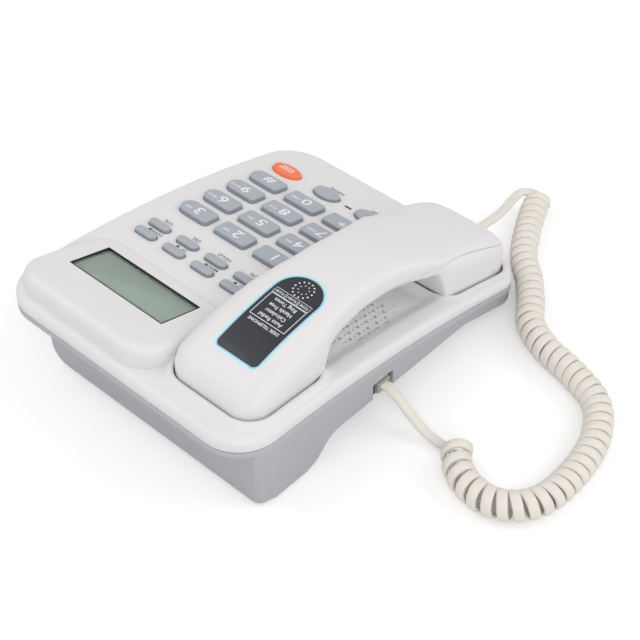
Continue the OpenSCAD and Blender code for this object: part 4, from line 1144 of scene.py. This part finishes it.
def handset_holes():
    """Sound holes and screw holes."""
    spots = [(HANDSET_X, RECEIVER_Y, RECEIVER_HOLE_D), (HANDSET_X, MIC_Y, MIC_HOLE_D)]
    spots += [(x, y, RECEIVER_HOLE_D) for x, y in circle(HANDSET_X, RECEIVER_Y, RECEIVER_RING_R, 6)]
    tools = [extruded("hole", circle(x, y, d / 2, HOLE_SIDES), 0, seat_z(y) + HOLE_RISE)
             for x, y, d in spots]
    low, high = cad_box_of("handset_screws")
    r = SCREW_HEAD_D / 2
    for y, top in ((low.y + r, low.z + OVER), (high.y - r, EAR_SOLE_Z + HANDSET_WALL + SCREW_SEAT)):
        tools.append(extruded("hole", circle(HANDSET_X, y, r + SCREW_GAP, HOLE_SIDES), 0, top))
    return joined("handset_holes", tools)


def handset():
    """Two hollow shells, parted along a groove, with a bay for the cord's socket."""
    upper = handset_form("handset_upper_shell", MOUTH_END, REAR_END)
    groove = below_seam(SEAM_W / 2, SEAM_W)
    mouth_depth, rear_depth = SEAM_END_DEPTHS
    core = handset_form("core", MOUTH_END + mouth_depth, REAR_END - rear_depth, SEAM_DEPTH)
    combine(upper, combine(groove, core, "DIFFERENCE"), "DIFFERENCE")
    combine(upper, handset_form("hollow", *HOLLOW_ENDS, HANDSET_WALL), "DIFFERENCE")
    low, high = cad_box_of("handset_jack")
    bay = block_of("bay", low.x - JACK_GAP, high.x + JACK_GAP, MOUTH_END - OVER, high.y + OVER,
                   low.z - JACK_GAP, high.z + JACK_GAP)
    combine(upper, bay, "DIFFERENCE")
    lower = placed("handset_lower_shell", upper.data.copy())
    combine(upper, below_seam(), "DIFFERENCE")
    combine(lower, below_seam(), "INTERSECT")
    combine(lower, handset_holes(), "DIFFERENCE")
    for shell, node in ((upper, "handset_back"), (lower, "handset_front")):
        enrol(shell, SHELL, "handset", node, SHELL_CREASE)


handset()

# ------------------ dark panel on the handset

PANEL_X, PANEL_HALF, PANEL_Y0, PANEL_Y1, PANEL_CORNER = -44.5, 11.5, 19.5, 67.6, 2.6
PANEL_T, PANEL_CUT, PRINT_LIFT, PRINT_CUT, PRINT_SHORT = 0.05, 1.6, 0.15, 1.2, 2
# Name, growth over the panel's outline, height over the crown and finish of each layer
PANEL_LAYERS = (("panel_halo", 1.6, 0.03, PANEL_HALO), ("panel_border", 0.7, 0.07, PANEL_EDGE),
                ("panel_face", 0.0, 0.11, PANEL_DARK))
# Rings of dots: how many, ring radius, dot radius and turn as a share of the spacing
EMBLEM_Y, EMBLEM_RINGS = PANEL_Y0 + 6.8, ((14, 4.6, 0.42, 0), (8, 2.5, 0.3, 0.5))
BOX_Y, BOX_W, BOX_H, BOX_LINE, BOX_SIZE = 33.3, 6.2, 3.1, 0.22, 1.75
BOX_WORDS = ((-6.8, "TONE"), (0.0, "FLASH"), (6.8, "PULSE"))
LIST_Y, LIST_W, LIST_H, LIST_LINE, LIST_SIZE, LIST_STEP = 41.9, 19.4, 13.4, 0.3, 2.7, 3.1
LIST_WORDS, LIST_LOWEST = ("Ring Tones", "Hands Free", "Calculator", "Auto Redial"), -4.6
TITLE, TITLE_SIZE, TITLE_Y = "DESK TELEPHONE", 2.1, LIST_Y + LIST_H / 2 + 1.9


def crown_z(x, y):
    """Height of the handset's upper side over a point in plan."""
    low, high = sole_at(y), crown_at(y)
    across = min(abs((x - HANDSET_X) / half_at(y)), 1)
    return (low + high) / 2 + (high - low) / 2 * (1 - across ** UPPER_POWER) ** (1 / UPPER_POWER)


def lay_on_crown(obj, lift):
    """Bends a flat piece drawn about z = 0 onto the handset's upper side."""
    for v in obj.data.vertices:
        v.co.z += (crown_z(v.co.x / MM, v.co.y / MM) + lift) * MM
    return obj


def arch_outline(grow):
    """Panel outline: a half round at its inner end and small corners at its outer end."""
    r, c = PANEL_HALF + grow, PANEL_CORNER + grow
    outline = arc(PANEL_X, PANEL_Y0 + PANEL_HALF, r, 180, 360, 28)
    outline += arc(PANEL_X + r - c, PANEL_Y1 + grow - c, c, 0, 90)
    return outline + arc(PANEL_X - r + c, PANEL_Y1 + grow - c, c, 90, 180)


def frame_strokes(cx, cy, w, h, width):
    """Outlines of the four strokes of a thin rectangular frame."""
    corners = rectangle(cx - w / 2, cx + w / 2, cy - h / 2, cy + h / 2)
    strokes = []
    for (x0, y0), (x1, y1) in zip(corners, corners[1:] + corners[:1]):
        reach = width / 2 / math.hypot(x1 - x0, y1 - y0)
        nx, ny = (y0 - y1) * reach, (x1 - x0) * reach
        strokes.append([(x0 - nx, y0 - ny), (x1 - nx, y1 - ny),
                        (x1 + nx, y1 + ny), (x0 + nx, y0 + ny)])
    return strokes


def panel_outlines():
    """Everything printed on the panel that isn't a word."""
    outlines = []
    for count, ring_r, dot_r, turn in EMBLEM_RINGS:
        for k in range(count):
            a = 2 * math.pi * (k + turn) / count
            outlines.append(circle(PANEL_X + ring_r * math.cos(a), EMBLEM_Y + ring_r * math.sin(a),
                                   dot_r, 8))
    for x, text in BOX_WORDS:
        outlines += frame_strokes(PANEL_X + x, BOX_Y, BOX_W, BOX_H, BOX_LINE)
    return outlines + frame_strokes(PANEL_X, LIST_Y, LIST_W, LIST_H, LIST_LINE)


def panel_print():
    """Generic print: a ring of dots, three boxed words, a framed list and a title."""
    pieces = []
    for outline in panel_outlines():
        flat = extruded("print", outline, -PRINT_T / 2, PRINT_T / 2)
        pieces.append(cross_sliced(flat, extents(outline), PRINT_CUT, PRINT_SHORT))
    words = [(text, BOX_SIZE, x, BOX_Y) for x, text in BOX_WORDS]
    words += [(text, LIST_SIZE, 0, LIST_Y + LIST_LOWEST + LIST_STEP * k)
              for k, text in enumerate(LIST_WORDS)]
    for text, size, x, y in words + [(TITLE, TITLE_SIZE, 0, TITLE_Y)]:
        place = Matrix.Translation(((PANEL_X + x) * MM, y * MM, 0))
        pieces.append(settle(lettering("words", text, size, LETTER_WEIGHT), place))
    printed = lay_on_crown(joined("panel_print", pieces), PRINT_LIFT)
    enrol(printed, PRINT_WHITE, "handset")


def panel():
    for name, grow, lift, mat in PANEL_LAYERS:
        outline = arch_outline(grow)
        sheet = cross_sliced(extruded(name, outline, 0, PANEL_T), extents(outline), PANEL_CUT)
        enrol(lay_on_crown(sheet, lift), mat, "handset", crease=SHELL_CREASE)
    panel_print()


panel()

# ------------------ finishes of the inner parts

FINISHES = ((LENS, ("lcd_lens",)), (LCD_FACE, ("lcd_panel",)), (LAMP, ("led_lens",)),
            (BOARD, ("lcd_board", "keypad_board", "main_board")), (SILICONE, ("key_mat",)),
            (STEEL, ("case_screws", "handset_screws", "handset_weight")),
            (DARK, ("loudspeaker", "hook_switch", "receiver_capsule", "microphone")),
            (PLUG_CLEAR, ("base_plug", "handset_plug")), (RIBBON, ("ribbon_cable",)))

for mat, nodes in FINISHES:
    for node in nodes:
        paint(frame["nodes"][node], mat)

# ------------------ floor and light, in metres

FLOOR_SIZE, FLOOR_DROP = 6.0, 0.0002
WHITE, FLOOR_GLOW, AMBIENT = (1, 1, 1, 1), 0.3, 0.62
FLOOR_FINISH = {"Base Color": (0.82, 0.82, 0.82, 1), "Roughness": 0.9, "Specular IOR Level": 0.1,
                "Emission Color": WHITE}
# Place of each lamp, its width and its power in watts
LAMPS = (((-1.15, 0.95, 1.05), 1.1, 8.0), ((-1.0, -0.9, 1.0), 1.0, 5.0), ((1.1, 0.6, 1.5), 1.2, 7.0))


def maths(nodes, operation, a, b, links):
    """Math node fed by a socket and by another socket or a number."""
    node = nodes.new("ShaderNodeMath")
    node.operation = operation
    links.new(a, node.inputs[0])
    if isinstance(b, float):
        node.inputs[1].default_value = b
    else:
        links.new(b, node.inputs[1])
    return node.outputs["Value"]


def floor():
    """Pale floor that takes the object's shadow and looks white from the camera."""
    plane = primitive("floor", bpy.ops.mesh.primitive_plane_add, size=FLOOR_SIZE,
                      location=(0, 0, -FLOOR_DROP))
    mat = bpy.data.materials.new("floor_white")
    mat.use_nodes = True
    nodes, links = mat.node_tree.nodes, mat.node_tree.links
    shader = nodes["Principled BSDF"]
    for socket, value in FLOOR_FINISH.items():
        shader.inputs[socket].default_value = value
    seen = nodes.new("ShaderNodeLightPath").outputs["Is Camera Ray"]
    links.new(maths(nodes, "MULTIPLY", seen, FLOOR_GLOW, links), shader.inputs["Emission Strength"])
    paint(plane, mat)


def lamps():
    for i, (place, width, power) in enumerate(LAMPS):
        light = placed(f"softbox_{i}", bpy.data.lights.new(f"softbox_{i}", "AREA"))
        light.data.shape = "DISK"
        light.data.size = width
        light.data.energy = power
        light.location = place
        light.rotation_euler = (-Vector(place)).to_track_quat("-Z", "Y").to_euler()


def studio():
    """Even room light, with plain white where the camera or a clear piece looks past the floor."""
    world = bpy.data.worlds.new("studio")
    bpy.context.scene.world = world
    world.use_nodes = True
    nodes, links = world.node_tree.nodes, world.node_tree.links
    back = nodes["Background"]
    back.inputs["Color"].default_value = WHITE
    rays = nodes.new("ShaderNodeLightPath").outputs
    level = nodes.new("ShaderNodeMapRange")
    level.inputs["To Min"].default_value = AMBIENT
    level.inputs["To Max"].default_value = 1.0
    seen = maths(nodes, "MAXIMUM", rays["Is Camera Ray"], rays["Is Transmission Ray"], links)
    links.new(seen, level.inputs["Value"])
    links.new(level.outputs["Result"], back.inputs["Strength"])


floor()
lamps()
studio()
